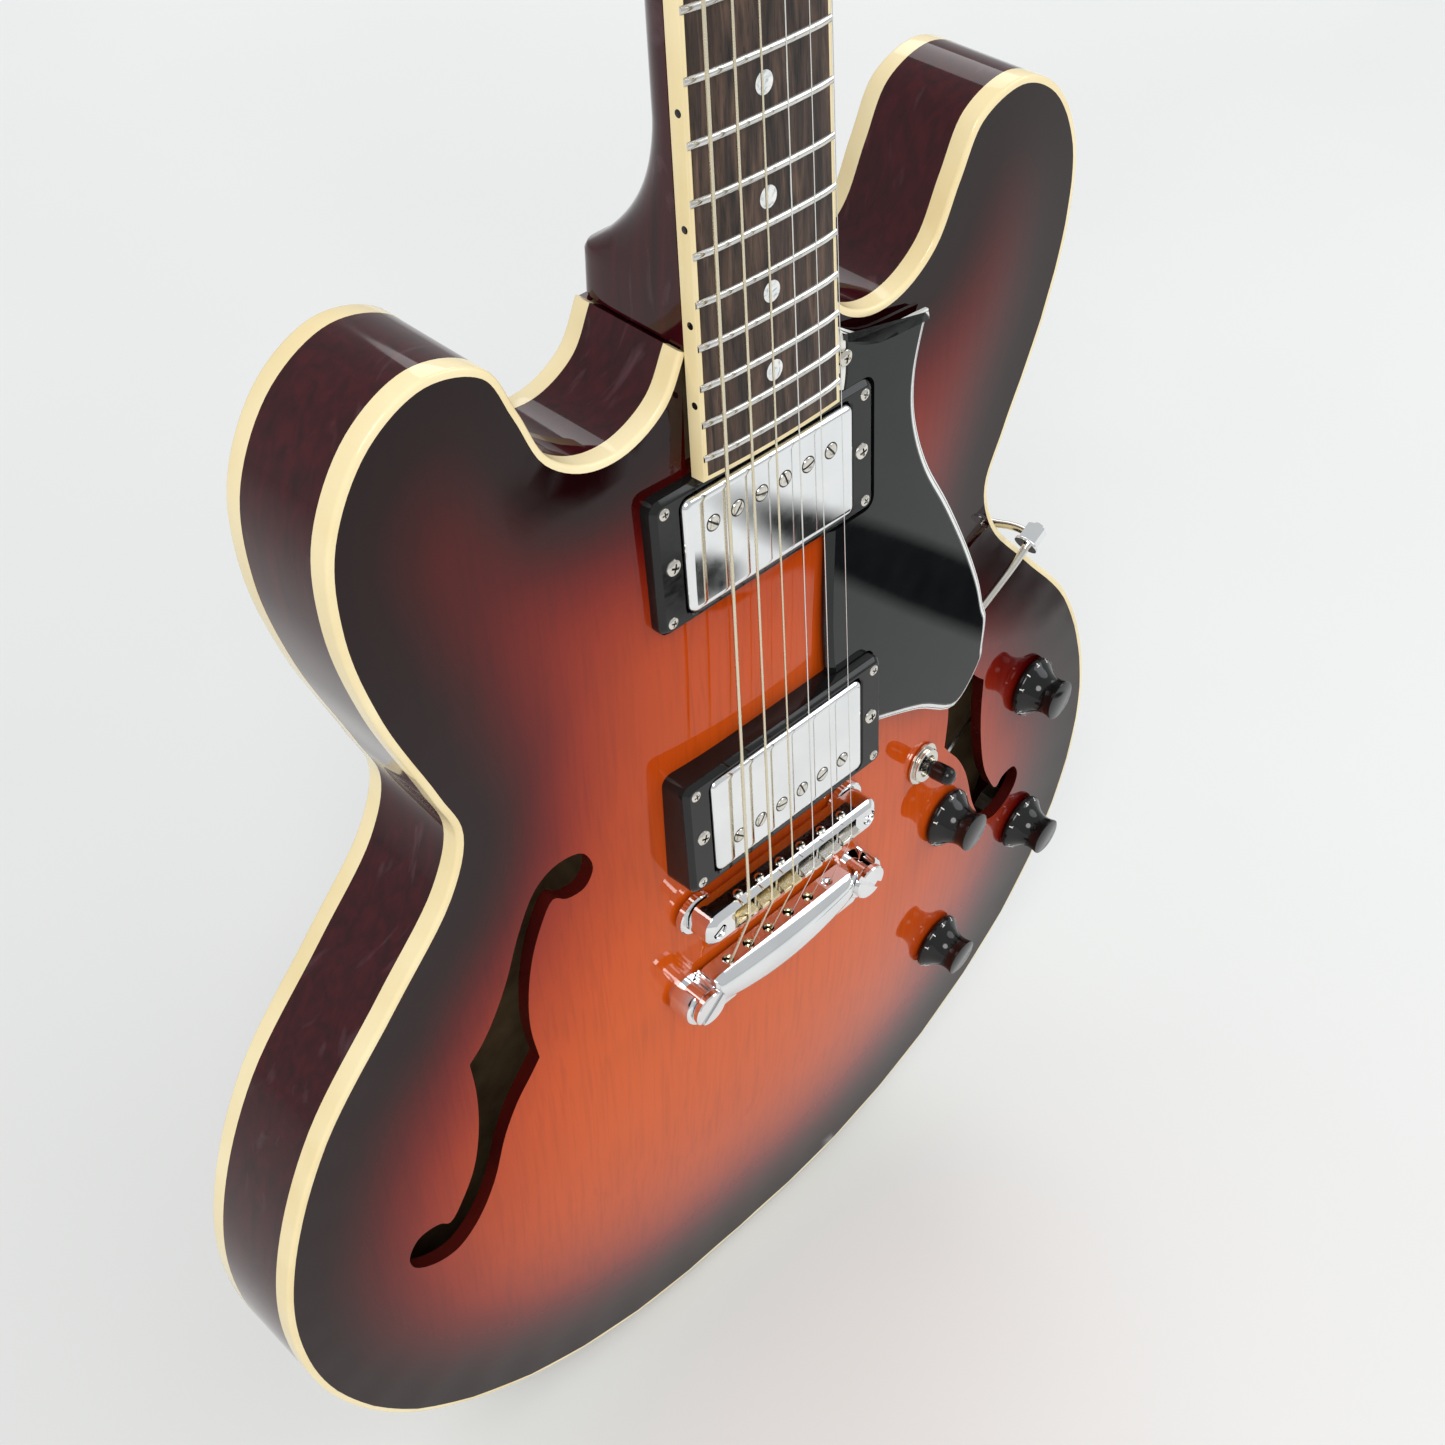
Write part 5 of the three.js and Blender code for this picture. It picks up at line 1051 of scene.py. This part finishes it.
ball_profile = [(1.5, -2.4), (1.6, -1.6), (1.6, -0.6), (1.45, -0.2), (0.7, -0.2), (0.001, -0.7)]
lying = turn(-90, "X")
ball = moved(lathe(ball_profile, 20), lying)
holes = [moved(rod(2.1, -10, 10, 20), placed((s["x"], -BALL_HEIGHT, TAIL_FACE), lying)) for s in STRINGS]
balls = joined(*(moved(ball, placed((s["x"], -BALL_HEIGHT, TAIL_FACE - 2.2))) for s in STRINGS))
ears = joined(*(make(sign) for sign in SIDES.values() for make in (tail_ear, tail_arm)))
tail_bar = carved(loft([tail_ring(x) for x in evenly(TAIL_HALF, 28)]), *holes)
piece("tailpiece_bar", tail_bar, "chrome", "tailpiece", tail_frame, ["tailpiece"], smooth=28)
piece("tailpiece_ears", ears, "chrome", "tailpiece", tail_frame, smooth=30)
piece("ball_ends", balls, "brass", "tailpiece", tail_frame)
CAP_PROFILE = [(4.4, 0.1), (6.6, 0.15), (7, 0.6), (7, 2.5), (6.6, 2.95), (0.001, 3.1)]
for side, sign in SIDES.items():
    foot = tail_bottom - 2.1
    shank = lathe([
        (4, -9), (4, foot), (7, foot + 0.01), (7, foot + 1.8), (4.4, foot + 1.81), (4.4, EAR_TOP + 0.2),
    ], 36)
    slot = moved(bar_cutter(9, 1.25, EAR_TOP + 1.4, 40), Matrix.Rotation(0.75 * sign, 3, "Y"))
    cap = carved(lathe([(r, EAR_TOP + d) for r, d in CAP_PROFILE], 40), slot)
    piece(f"{side}_stud_screw", joined(shank, cap), "chrome", f"{side}_stud",
          tail_frame @ placed((sign * STUD_X, 0, -TAIL_DROP)), [f"{side}_tailpiece_stud"], smooth=30)

# Strings: from the tailpiece over saddle and nut, then down the posts

HEAD_BACK = HEAD.inverted()
TURN_GAP, POST_WAIST, WIND_TOP = 0.5, 3, 7.5
FACE_HEIGHT, FACE_SUNK, CROWN_HALF = 17.5, 3, 1.2


def winding(tuner, start, radius):
    """Two turns down the post from where the string meets it."""
    start = HEAD_BACK @ start
    mirror = -tuner["side"]
    reach = POST_WAIST + radius + SEAM
    over, up = mirror * (tuner["x"] - start.x), tuner["s"] - start.z
    heading = math.atan2(up, over) - math.asin(reach / math.hypot(over, up))
    points = []
    for i in range(41):
        turns = i / 20
        angle = heading - math.pi / 2 + 2 * math.pi * turns
        x, z = tuner["x"] + mirror * reach * math.cos(angle), tuner["s"] + reach * math.sin(angle)
        points.append(HEAD @ Vector((x, turns * (2 * radius + TURN_GAP) - WIND_TOP, z)))
    return points


for s, tuner in zip(STRINGS, TUNERS):
    slope = (s["over_bridge"] - FACE_HEIGHT) / -TAIL_FACE
    low = Vector((s["x"], front_y(FACE_HEIGHT - slope * FACE_SUNK), BRIDGE_Z + TAIL_FACE - FACE_SUNK))
    before = Vector((s["x"], front_y(s["over_bridge"] - slope * CROWN_HALF), BRIDGE_Z - CROWN_HALF))
    crown = Vector((s["x"], front_y(s["over_bridge"]), BRIDGE_Z))
    nut = [NECK @ Vector((s["nut_x"], -s["over_nut"], NUT_START + along)) for along in (0, NUT_LENGTH)]
    route = [low, before, crown, crown.lerp(nut[0], 0.002), *nut, *winding(tuner, nut[1], s["radius"])]
    name = f"string_{s['number']}"
    piece(f"{name}_wire", tube(route, s["radius"], 12), "wound" if s["number"] > 3 else "steel",
          replaces=[name], smooth=60)

# Pickguard: plies that show at its sloping edge, cut out round the pickup rings

GUARD = [
    (0.294, 1), (0.423, 0.955), (0.668, 0.939), (0.65, 0.913), (0.617, 0.84), (0.612, 0.774), (0.632, 0.707),
    (0.681, 0.626), (0.779, 0.518), (0.883, 0.387), (0.954, 0.277), (0.983, 0.209), (1, 0.179), (0.991, 0.11),
    (0.983, 0.074), (0.852, 0), (0.662, 0.062), (0.464, 0.11), (0.37, 0.13), (0.241, 0.27), (0.241, 0.66),
    (0.27, 0.84), (0.294, 0.915),
]
GUARD_CORNERS = (0, 2, 18)
GUARD_WIDTH, GUARD_LENGTH, GUARD_START = 108, 177.5, 12.5
PLIES = [(-6.9, 0), (-5.75, 0.02), (-5.5, 0.6), (-5.38, 0.9), (-4.8, 2.3), (-4.68, 2.6), (-4.5, 3)]
WHITE_PLIES = ((-6.85, -5.47), (-5.4, -4.77))
PLAIN_EDGE_X = 32
BY_RING_X, BY_RING_S = 47, 24
RING_ROOM = (46.4, 23.5, 4.4)
GUARD_SCREW = (33.5, -4.55, 179.9)
guard_rows = [(x * GUARD_WIDTH, GUARD_START + z * GUARD_LENGTH) for x, z in GUARD]
guard_plan = cornered_curve(guard_rows, GUARD_CORNERS, 5)[::-1]
ring_rooms = [prism(rounded(*RING_ROOM, s), -20, 20) for s, _ in RING_TOPS.values()]
room_objects = [link("room", new_mesh("room", room, NECK)) for room in ring_rooms]
guard = link("pickguard_sheet", new_mesh("pickguard_sheet", plate(guard_plan, PLIES), NECK))
guard_mesh = evaluated(guard, *room_objects)
dress(link("pickguard_sheet", guard_mesh), ["guard", "white"], "guitar", ["pickguard"], smooth=20)
to_neck = NECK.inverted()
for polygon in guard_mesh.polygons:
    place = to_neck @ (polygon.center / MM)
    pale = any(low < -place.y < high for low, high in WHITE_PLIES)
    near = abs(place.x) < BY_RING_X
    by_ring = near and any(abs(place.z - s) < BY_RING_S for s, _ in RING_TOPS.values())
    polygon.material_index = int(pale and place.x > PLAIN_EDGE_X and not by_ring)
piece("guard_screw", stamped(MIDDLE_CROSS, [GUARD_SCREW]), "nickel", matrix=NECK)

# The guard's bracket: an angle piece on the treble rim, its nut, and a rod to the guard's underside

BRACKET_ABOVE_BRIDGE, BRACKET_STANDOFF, ROD_TOP = 58, 5, 9.2
ROD_END_X, ROD_END_BEFORE, ROD_END_UNDER = 98, 19, 8.7
outline, outline_tangents = curve_through(OUTLINE_ROWS, 200)
treble_side = range(len(outline) // 2, len(outline) // 2 + 200 * 12)
foot_index = min(treble_side, key=lambda i: abs(outline[i][1] - (BRIDGE_Z + BRACKET_ABOVE_BRIDGE)))
foot_x, foot_z = outline[foot_index]
along_x, along_z = outline_tangents[foot_index]


def from_rim(out, height):
    return Vector((foot_x + out * along_z, front_y(height), foot_z - out * along_x))


rod_end_z = foot_z - ROD_END_BEFORE
rod_end_height = BOARD_PLANE - (rod_end_z - BRIDGE_Z) * math.tan(NECK_ANGLE) - ROD_END_UNDER
rod_end = Vector((ROD_END_X, front_y(rod_end_height), rod_end_z))
rod_head = from_rim(BRACKET_STANDOFF, ROD_TOP)
rod_rows = [
    from_rim(2.1, -15), from_rim(2.1, -8), from_rim(4.4, 0), from_rim(BRACKET_STANDOFF, 5),
    from_rim(4.2, 8.2), from_rim(2, ROD_TOP), rod_end,
]
rod_route = curve_through([tuple(p) for p in rod_rows], 6)[0]
rim_turn = Matrix(((along_x, 0, along_z), (-along_z, 0, along_x), (0, -1, 0))).transposed()
foot_plate = moved(softened(rounded(4, 7, 1.2), 0, 1.6, 0.4), placed(from_rim(0.6, -15), rim_turn))
rod_nut = lathe([
    (2, -3.6), (3.5, -3.6), (3.9, -3.2), (3.9, 3.2), (3.5, 3.6), (2.1, 3.6), (1.9, 4.6), (0.001, 4.6),
], 6)
rod_washer = lathe([(4.6, -4.6), (4.7, -4.4), (4.7, -3.8), (4.6, -3.6)], 28)
nut_place = placed(rod_head, facing((rod_head - rod_end).normalized()))
piece("guard_bracket_rod", tube(rod_route, 1.5, 14), "nickel", replaces=["pickguard_bracket"], smooth=60)
piece("guard_bracket_foot", foot_plate, "chrome", smooth=40)
piece("guard_bracket_nut", moved(joined(rod_nut, rod_washer), nut_place), "chrome", smooth=30)

# Knobs: black bells with numbers round the skirt

BELL = [
    (0.001, 0.1), (12, 0.1), (12.4, 0.25), (12.5, 0.7), (12.45, 1.9), (12.15, 2.5), (11.2, 3.5), (10.1, 4.6),
    (9.1, 5.8), (8.3, 7.2), (7.8, 8.8), (7.6, 10.3), (7.65, 11.6), (7.9, 12.9), (8.15, 13.9), (8.1, 14.35),
    (7.8, 14.5), (0.001, 14.5),
]
NUMERAL_SIZE, SKIRT_LEAN, TICK_LEAN = 4.0, 43, 60


def numeral(text):
    curve = bpy.data.curves.new("numeral", "FONT")
    curve.body, curve.size, curve.extrude, curve.resolution_u = text, NUMERAL_SIZE, 0.02, 2
    curve.align_x, curve.align_y = "CENTER", "CENTER"
    return read_shape(evaluated(link("numeral", curve)))


tick = prism(rounded(0.24, 0.7, 0.1, steps=2), 0, 0.04)
numeral_place = placed((0, -3.65, -10.95), turn(SKIRT_LEAN + 90, "X"))
tick_place = placed((0, -2.42, -12.2), turn(TICK_LEAN, "X"))
numbers = []
for digit in range(11):
    around = turn(120 + digit * 30, "Y").to_4x4()
    numbers.append(moved(numeral(str(digit)), around @ numeral_place))
    numbers.append(moved(tick, around @ tick_place))
bell = joined(lathe(BELL, 64), rod(3, -9, 2))
for k in (1, 2, 3, 4):
    name = f"knob_{k}"
    knob_frame = joint_frame(f"{name}_turn", 1)
    piece(f"{name}_bell", bell, "black", name, knob_frame, [name], smooth=38)
    piece(f"{name}_numbers", joined(*numbers), "white", name, knob_frame, smooth=30)

# Selector switch: washer, round nut, and a lever with a black tip on a ball

SWITCH_FRONT = Vector((0.085224, -0.99495, 0.053024)).normalized()
BALL_RADIUS, BALL_DEPTH = 4.1, 6
switch_origin = Vector(joints["switch_throw"]["pos_m"]) / MM + SWITCH_FRONT * BALL_DEPTH
switch_frame = placed(switch_origin, facing(SWITCH_FRONT))
washer = lathe([(6, 0.3), (8.3, 0.3), (8.5, 0.5), (8.5, 1.3), (8.2, 1.5), (5, 1.5)], 48)
dress_nut = lathe([
    (6.9, 1.5), (7, 1.7), (7, 2.8), (6.6, 3.2), (4.5, 3.2), (4.4, 2.9), (4.4, -10), (5.6, -10), (5.6, 1.5),
], 48)
switch_case = prism(rounded(6, 17, 1), -28, -6)
pivot = [
    (BALL_RADIUS * math.sin(a), -BALL_DEPTH - BALL_RADIUS * math.cos(a)) for a in np.linspace(0.02, 2.6, 14)
]
lever = lathe(pivot + [(1.8, -2.2), (1.8, 6)], 28)
tip = lathe([
    (1.8, 4.4), (2.7, 4.5), (3.3, 5.4), (3.6, 7), (3.6, 11.4), (3.45, 12.8), (2.9, 14.1), (1.9, 14.8),
    (0.8, 15), (0.001, 15),
], 40)
mount = joined(washer, dress_nut)
piece("switch_mount", mount, "nickel", matrix=switch_frame, replaces=["selector_switch"], smooth=30)
piece("switch_case", switch_case, "steel", matrix=switch_frame, bevel=0.6)
piece("switch_lever_rod", lever, "steel", "switch_lever", switch_frame, ["switch_lever"], smooth=40)
piece("switch_lever_tip", tip, "black", "switch_lever", switch_frame, smooth=50)

# Output jack on the treble rim

jack_low, jack_high = node_box("output_jack")
jack_frame = placed((BODY_HALF_WIDTH + SEAM, 0, (jack_low.z + jack_high.z) / 2), turn(90, "Z"))
jack_hole = prism(circle(3.3), -5, 9)
jack_plate = carved(softened(rounded(9, 13, 2.5), 0, 1.5, 0.5), jack_hole)
jack_nut = carved(lathe([(7, 1.5), (7, 3.1), (6.4, 3.5), (0.001, 3.5)], 6), jack_hole)
SLEEVE = ((5, -28), (5, 1), (5, 3.6), (4.6, 3.8), (3.2, 3.8), (3.2, -28), (5, -28))
sleeve = loft([[(x, -height, z) for x, z in circle(r)] for r, height in SLEEVE], caps=False)
jack_screws = stamped(SMALL_CROSS, [(x, 1.2, z) for x in (-6, 6) for z in (-10, 10)])
jack = joined(jack_plate, jack_nut, sleeve)
piece("jack_plate", jack, "chrome", matrix=jack_frame, replaces=["output_jack"], smooth=30)
piece("jack_screws", jack_screws, "nickel", matrix=jack_frame)

# Strap buttons at the bottom and on the back

BUTTON = [
    (0.001, 0), (6.6, 0), (7.3, 0.5), (7.5, 1.4), (7.4, 2.4), (6.6, 3.3), (5.3, 4.3), (4.65, 5.6), (4.6, 7.4),
    (4.8, 9), (5.5, 11.2), (6.4, 12.6), (6.4, 13), (2, 13), (2, 39), (0.001, 39),
]
BUTTON_LENGTH = 13
back_low, back_high = node_box("back_strap_button")
back_place = (0, back_high.y - BUTTON_LENGTH, (back_low.z + back_high.z) / 2)
button = carved(lathe([(r, BUTTON_LENGTH - d) for r, d in BUTTON], 40),
                bar_cutter(2.6, 0.5, 12), bar_cutter(0.5, 2.6, 12))
button_places = {
    "end": placed((0, 0, BUTTON_LENGTH), turn(90, "X")),
    "back": placed(back_place, turn(180, "Z")),
}
for side, place in button_places.items():
    name = f"{side}_button_turned"
    piece(name, button, "chrome", matrix=place, replaces=[f"{side}_strap_button"], smooth=36)

# Tuners: bushings, cans on two strips, worms with their buttons, and posts

HEAD_REAR = -HEAD_THICKNESS - SEAM
WORM, COLLAR_X = 6.25 - HEAD_REAR, 6.5
BUSHING = [(3.7, -0.2), (5.4, 0), (5.4, 0.5), (4.9, 1.3), (3.7, 1.5), (3.7, -0.2)]
CAN_LEVELS = [(0, 0), (-8.8, 0), (-10, 0.6), (-10.8, 1.8), (-11, 3.2)]
bushings = [moved(lathe(BUSHING, 32), placed((t["x"], 0, t["s"]))) for t in TUNERS]
piece("tuner_bushings", joined(*bushings), "nickel", matrix=HEAD, smooth=36)
can_levels = [(HEAD_REAR + height, amount) for height, amount in CAN_LEVELS]
collar = lathe([(3.2, -4), (3.2, 2.5), (2.7, 3), (0.001, 3)], 24)
rear_screw = moved(SMALL_CROSS, turn(180, "X"))
for side, sign in SIDES.items():
    own = sorted((t for t in TUNERS if t["side"] == sign), key=lambda t: t["s"])
    rise_x, rise_s = own[-1]["x"] - own[0]["x"], own[-1]["s"] - own[0]["s"]
    lean = Matrix.Rotation(math.atan2(rise_x, rise_s), 3, "Y")
    middle = placed(((own[0]["x"] + own[-1]["x"]) / 2, 0, own[1]["s"]), lean)
    strip = moved(softened(rounded(6.5, 59, 3), HEAD_REAR - 1.5, HEAD_REAR, 0.2, 0.4), middle)
    cans = [plate(rounded(7, 7, 2.4, t["s"], t["x"]), can_levels) for t in own]
    sideways = turn(90 * sign, "Z")
    collars = [moved(collar, placed((t["x"] + sign * COLLAR_X, WORM, t["s"]), sideways)) for t in own]
    spots = [((a["x"] + b["x"]) / 2, 1.4 - HEAD_REAR, (a["s"] + b["s"]) / 2) for a, b in zip(own, own[1:])]
    screws = joined(*(moved(rear_screw, placed(spot)) for spot in spots))
    piece(f"{side}_tuner_cans", joined(strip, *cans, *collars), "nickel", matrix=HEAD,
          replaces=[f"{side}_tuner_housings"], smooth=34)
    piece(f"{side}_tuner_screws", screws, "nickel", matrix=HEAD)

KEY = [
    (0.001, 0), (0.3, 0), (0.45, 0.03), (0.62, 0.14), (0.85, 0.28), (0.97, 0.45), (1, 0.62), (0.93, 0.8),
    (0.75, 0.93), (0.4, 0.99), (0.001, 1),
]
KEY_HALF_THICKNESS, KEY_RADIUS, KEY_LENGTH = 3.5, 8, 19
KEY_OUTSIDE, WORM_OUTSIDE = 9, 11
round_key = lathe([(r * KEY_RADIUS, d * KEY_LENGTH) for r, d in KEY], 40)
key = moved(round_key, Matrix.Diagonal((KEY_HALF_THICKNESS / KEY_RADIUS, 1, 1)))
post = carved(lathe([(0.001, -18), (3, -18), (3, 11.4), (2.7, 12.4), (2, 13), (0.001, 13)], 32),
              moved(bar_cutter(5, 0.55, 10, 40), Matrix.Rotation(0.6, 3, "Y")))
for t in TUNERS:
    number, sign = t["number"], t["side"]
    sideways = turn(90 * sign, "Z")
    worm = rod(2, 0, t["edge"] + WORM_OUTSIDE - sign * t["x"], 20)
    turned_key = joined(moved(key, placed((sign * (t["edge"] + KEY_OUTSIDE), WORM, t["s"]), sideways)),
                        moved(worm, placed((t["x"] + sign * SEAM, WORM, t["s"]), sideways)))
    piece(f"tuner_button_{number}_key", turned_key, "nickel", f"button_{number}", HEAD,
          [f"tuner_button_{number}"], smooth=50)
    piece(f"tuner_post_{number}_turned", post, "nickel", f"post_{number}",
          HEAD @ placed((t["x"], 0, t["s"])), [f"tuner_post_{number}"], smooth=40)

# Model pieces that keep their shape

for name, finish in (("centre_block", "bare_wood"), ("control_harness", "steel"), ("truss_rod", "steel")):
    node = frame["nodes"][name]
    node.data.materials.clear()
    node.data.materials.append(FINISHES[finish].material)

# Floor, light and camera

FLOOR_RADIUS = 12
floor_shape = loft([[(x, z, 0) for x, z in circle(r, steps=64)] for r in (0.00001, FLOOR_RADIUS)], caps=False)
floor = link("floor", new_mesh("floor", floor_shape, scale=1))
floor.data.materials.append(floor_finish().material)

# Painted shade: two dark sheets low in front of the treble side stand in for shade on the floor there, and
# only gloss shows them, as dark reflections. (middle, half size) in metres
SHADE_SHEETS = [((0.468, -0.385), (0.042, 0.22)), ((0.372, -0.512), (0.045, 0.035))]
shade_sheet_material = screen_finish().material
for number, (middle, half) in enumerate(SHADE_SHEETS):
    disc_shape = ([(x, z, 0) for x, z in circle(1, steps=48)], [tuple(range(48))])
    shade_sheet = link(f"painted_shade_sheet_{number}", new_mesh(f"painted_shade_sheet_{number}", disc_shape, scale=1))
    shade_sheet.matrix_world = Matrix.Translation((*middle, 0.001)) @ Matrix.Diagonal((*half, 1, 1))
    shade_sheet.visible_camera = shade_sheet.visible_diffuse = shade_sheet.visible_shadow = False
    shade_sheet.data.materials.append(shade_sheet_material)

world = bpy.data.worlds.new("studio")
world.use_nodes = True
world.node_tree.nodes["Background"].inputs["Color"].default_value = (0.95, 0.972, 0.985, 1)
world.node_tree.nodes["Background"].inputs["Strength"].default_value = 0.62
scene.world = world


def area_light(name, place, target, size, power, color=(1, 1, 1)):
    data = bpy.data.lights.new(name, "AREA")
    data.shape, data.size, data.energy, data.color = "DISK", size, power, color
    light = link(name, data)
    light.location = place
    light.rotation_euler = (Vector(target) - Vector(place)).to_track_quat("-Z", "Y").to_euler()


area_light("back", (1.9, 1.5, 2.2), (1.2, 0.7, 0), 1.8, 17)
area_light("key", (-1.6, -1.5, 2.6), (0, 0, 0.25), 1.6, 52, (1, 0.98, 0.95))
area_light("fill", (1.9, -1.2, 1.8), (0, 0, 0.3), 1.8, 18, (0.95, 0.98, 1))

# The camera stands before the bass side and looks down past the cutaway
CAMERA_PLACE = (-0.324536, -0.327339, 0.737936)
RIGHT = Vector((0.711224, -0.702910, -0.008811))
DOWN = Vector((-0.494758, -0.491628, -0.716600))
AHEAD = Vector((0.499374, 0.514022, -0.697428))
camera_data = bpy.data.cameras.new("camera")
camera_data.lens, camera_data.sensor_width, camera_data.sensor_fit = 46.67, 36, "HORIZONTAL"
camera_data.shift_x, camera_data.shift_y = 0.0224, 0.0230
camera_data.clip_start, camera_data.clip_end = 0.01, 50
camera = link("camera", camera_data)
camera.matrix_world = placed(CAMERA_PLACE, Matrix((RIGHT, -DOWN, -AHEAD)).transposed())
scene.camera = camera
scene.view_settings.view_transform = "Standard"
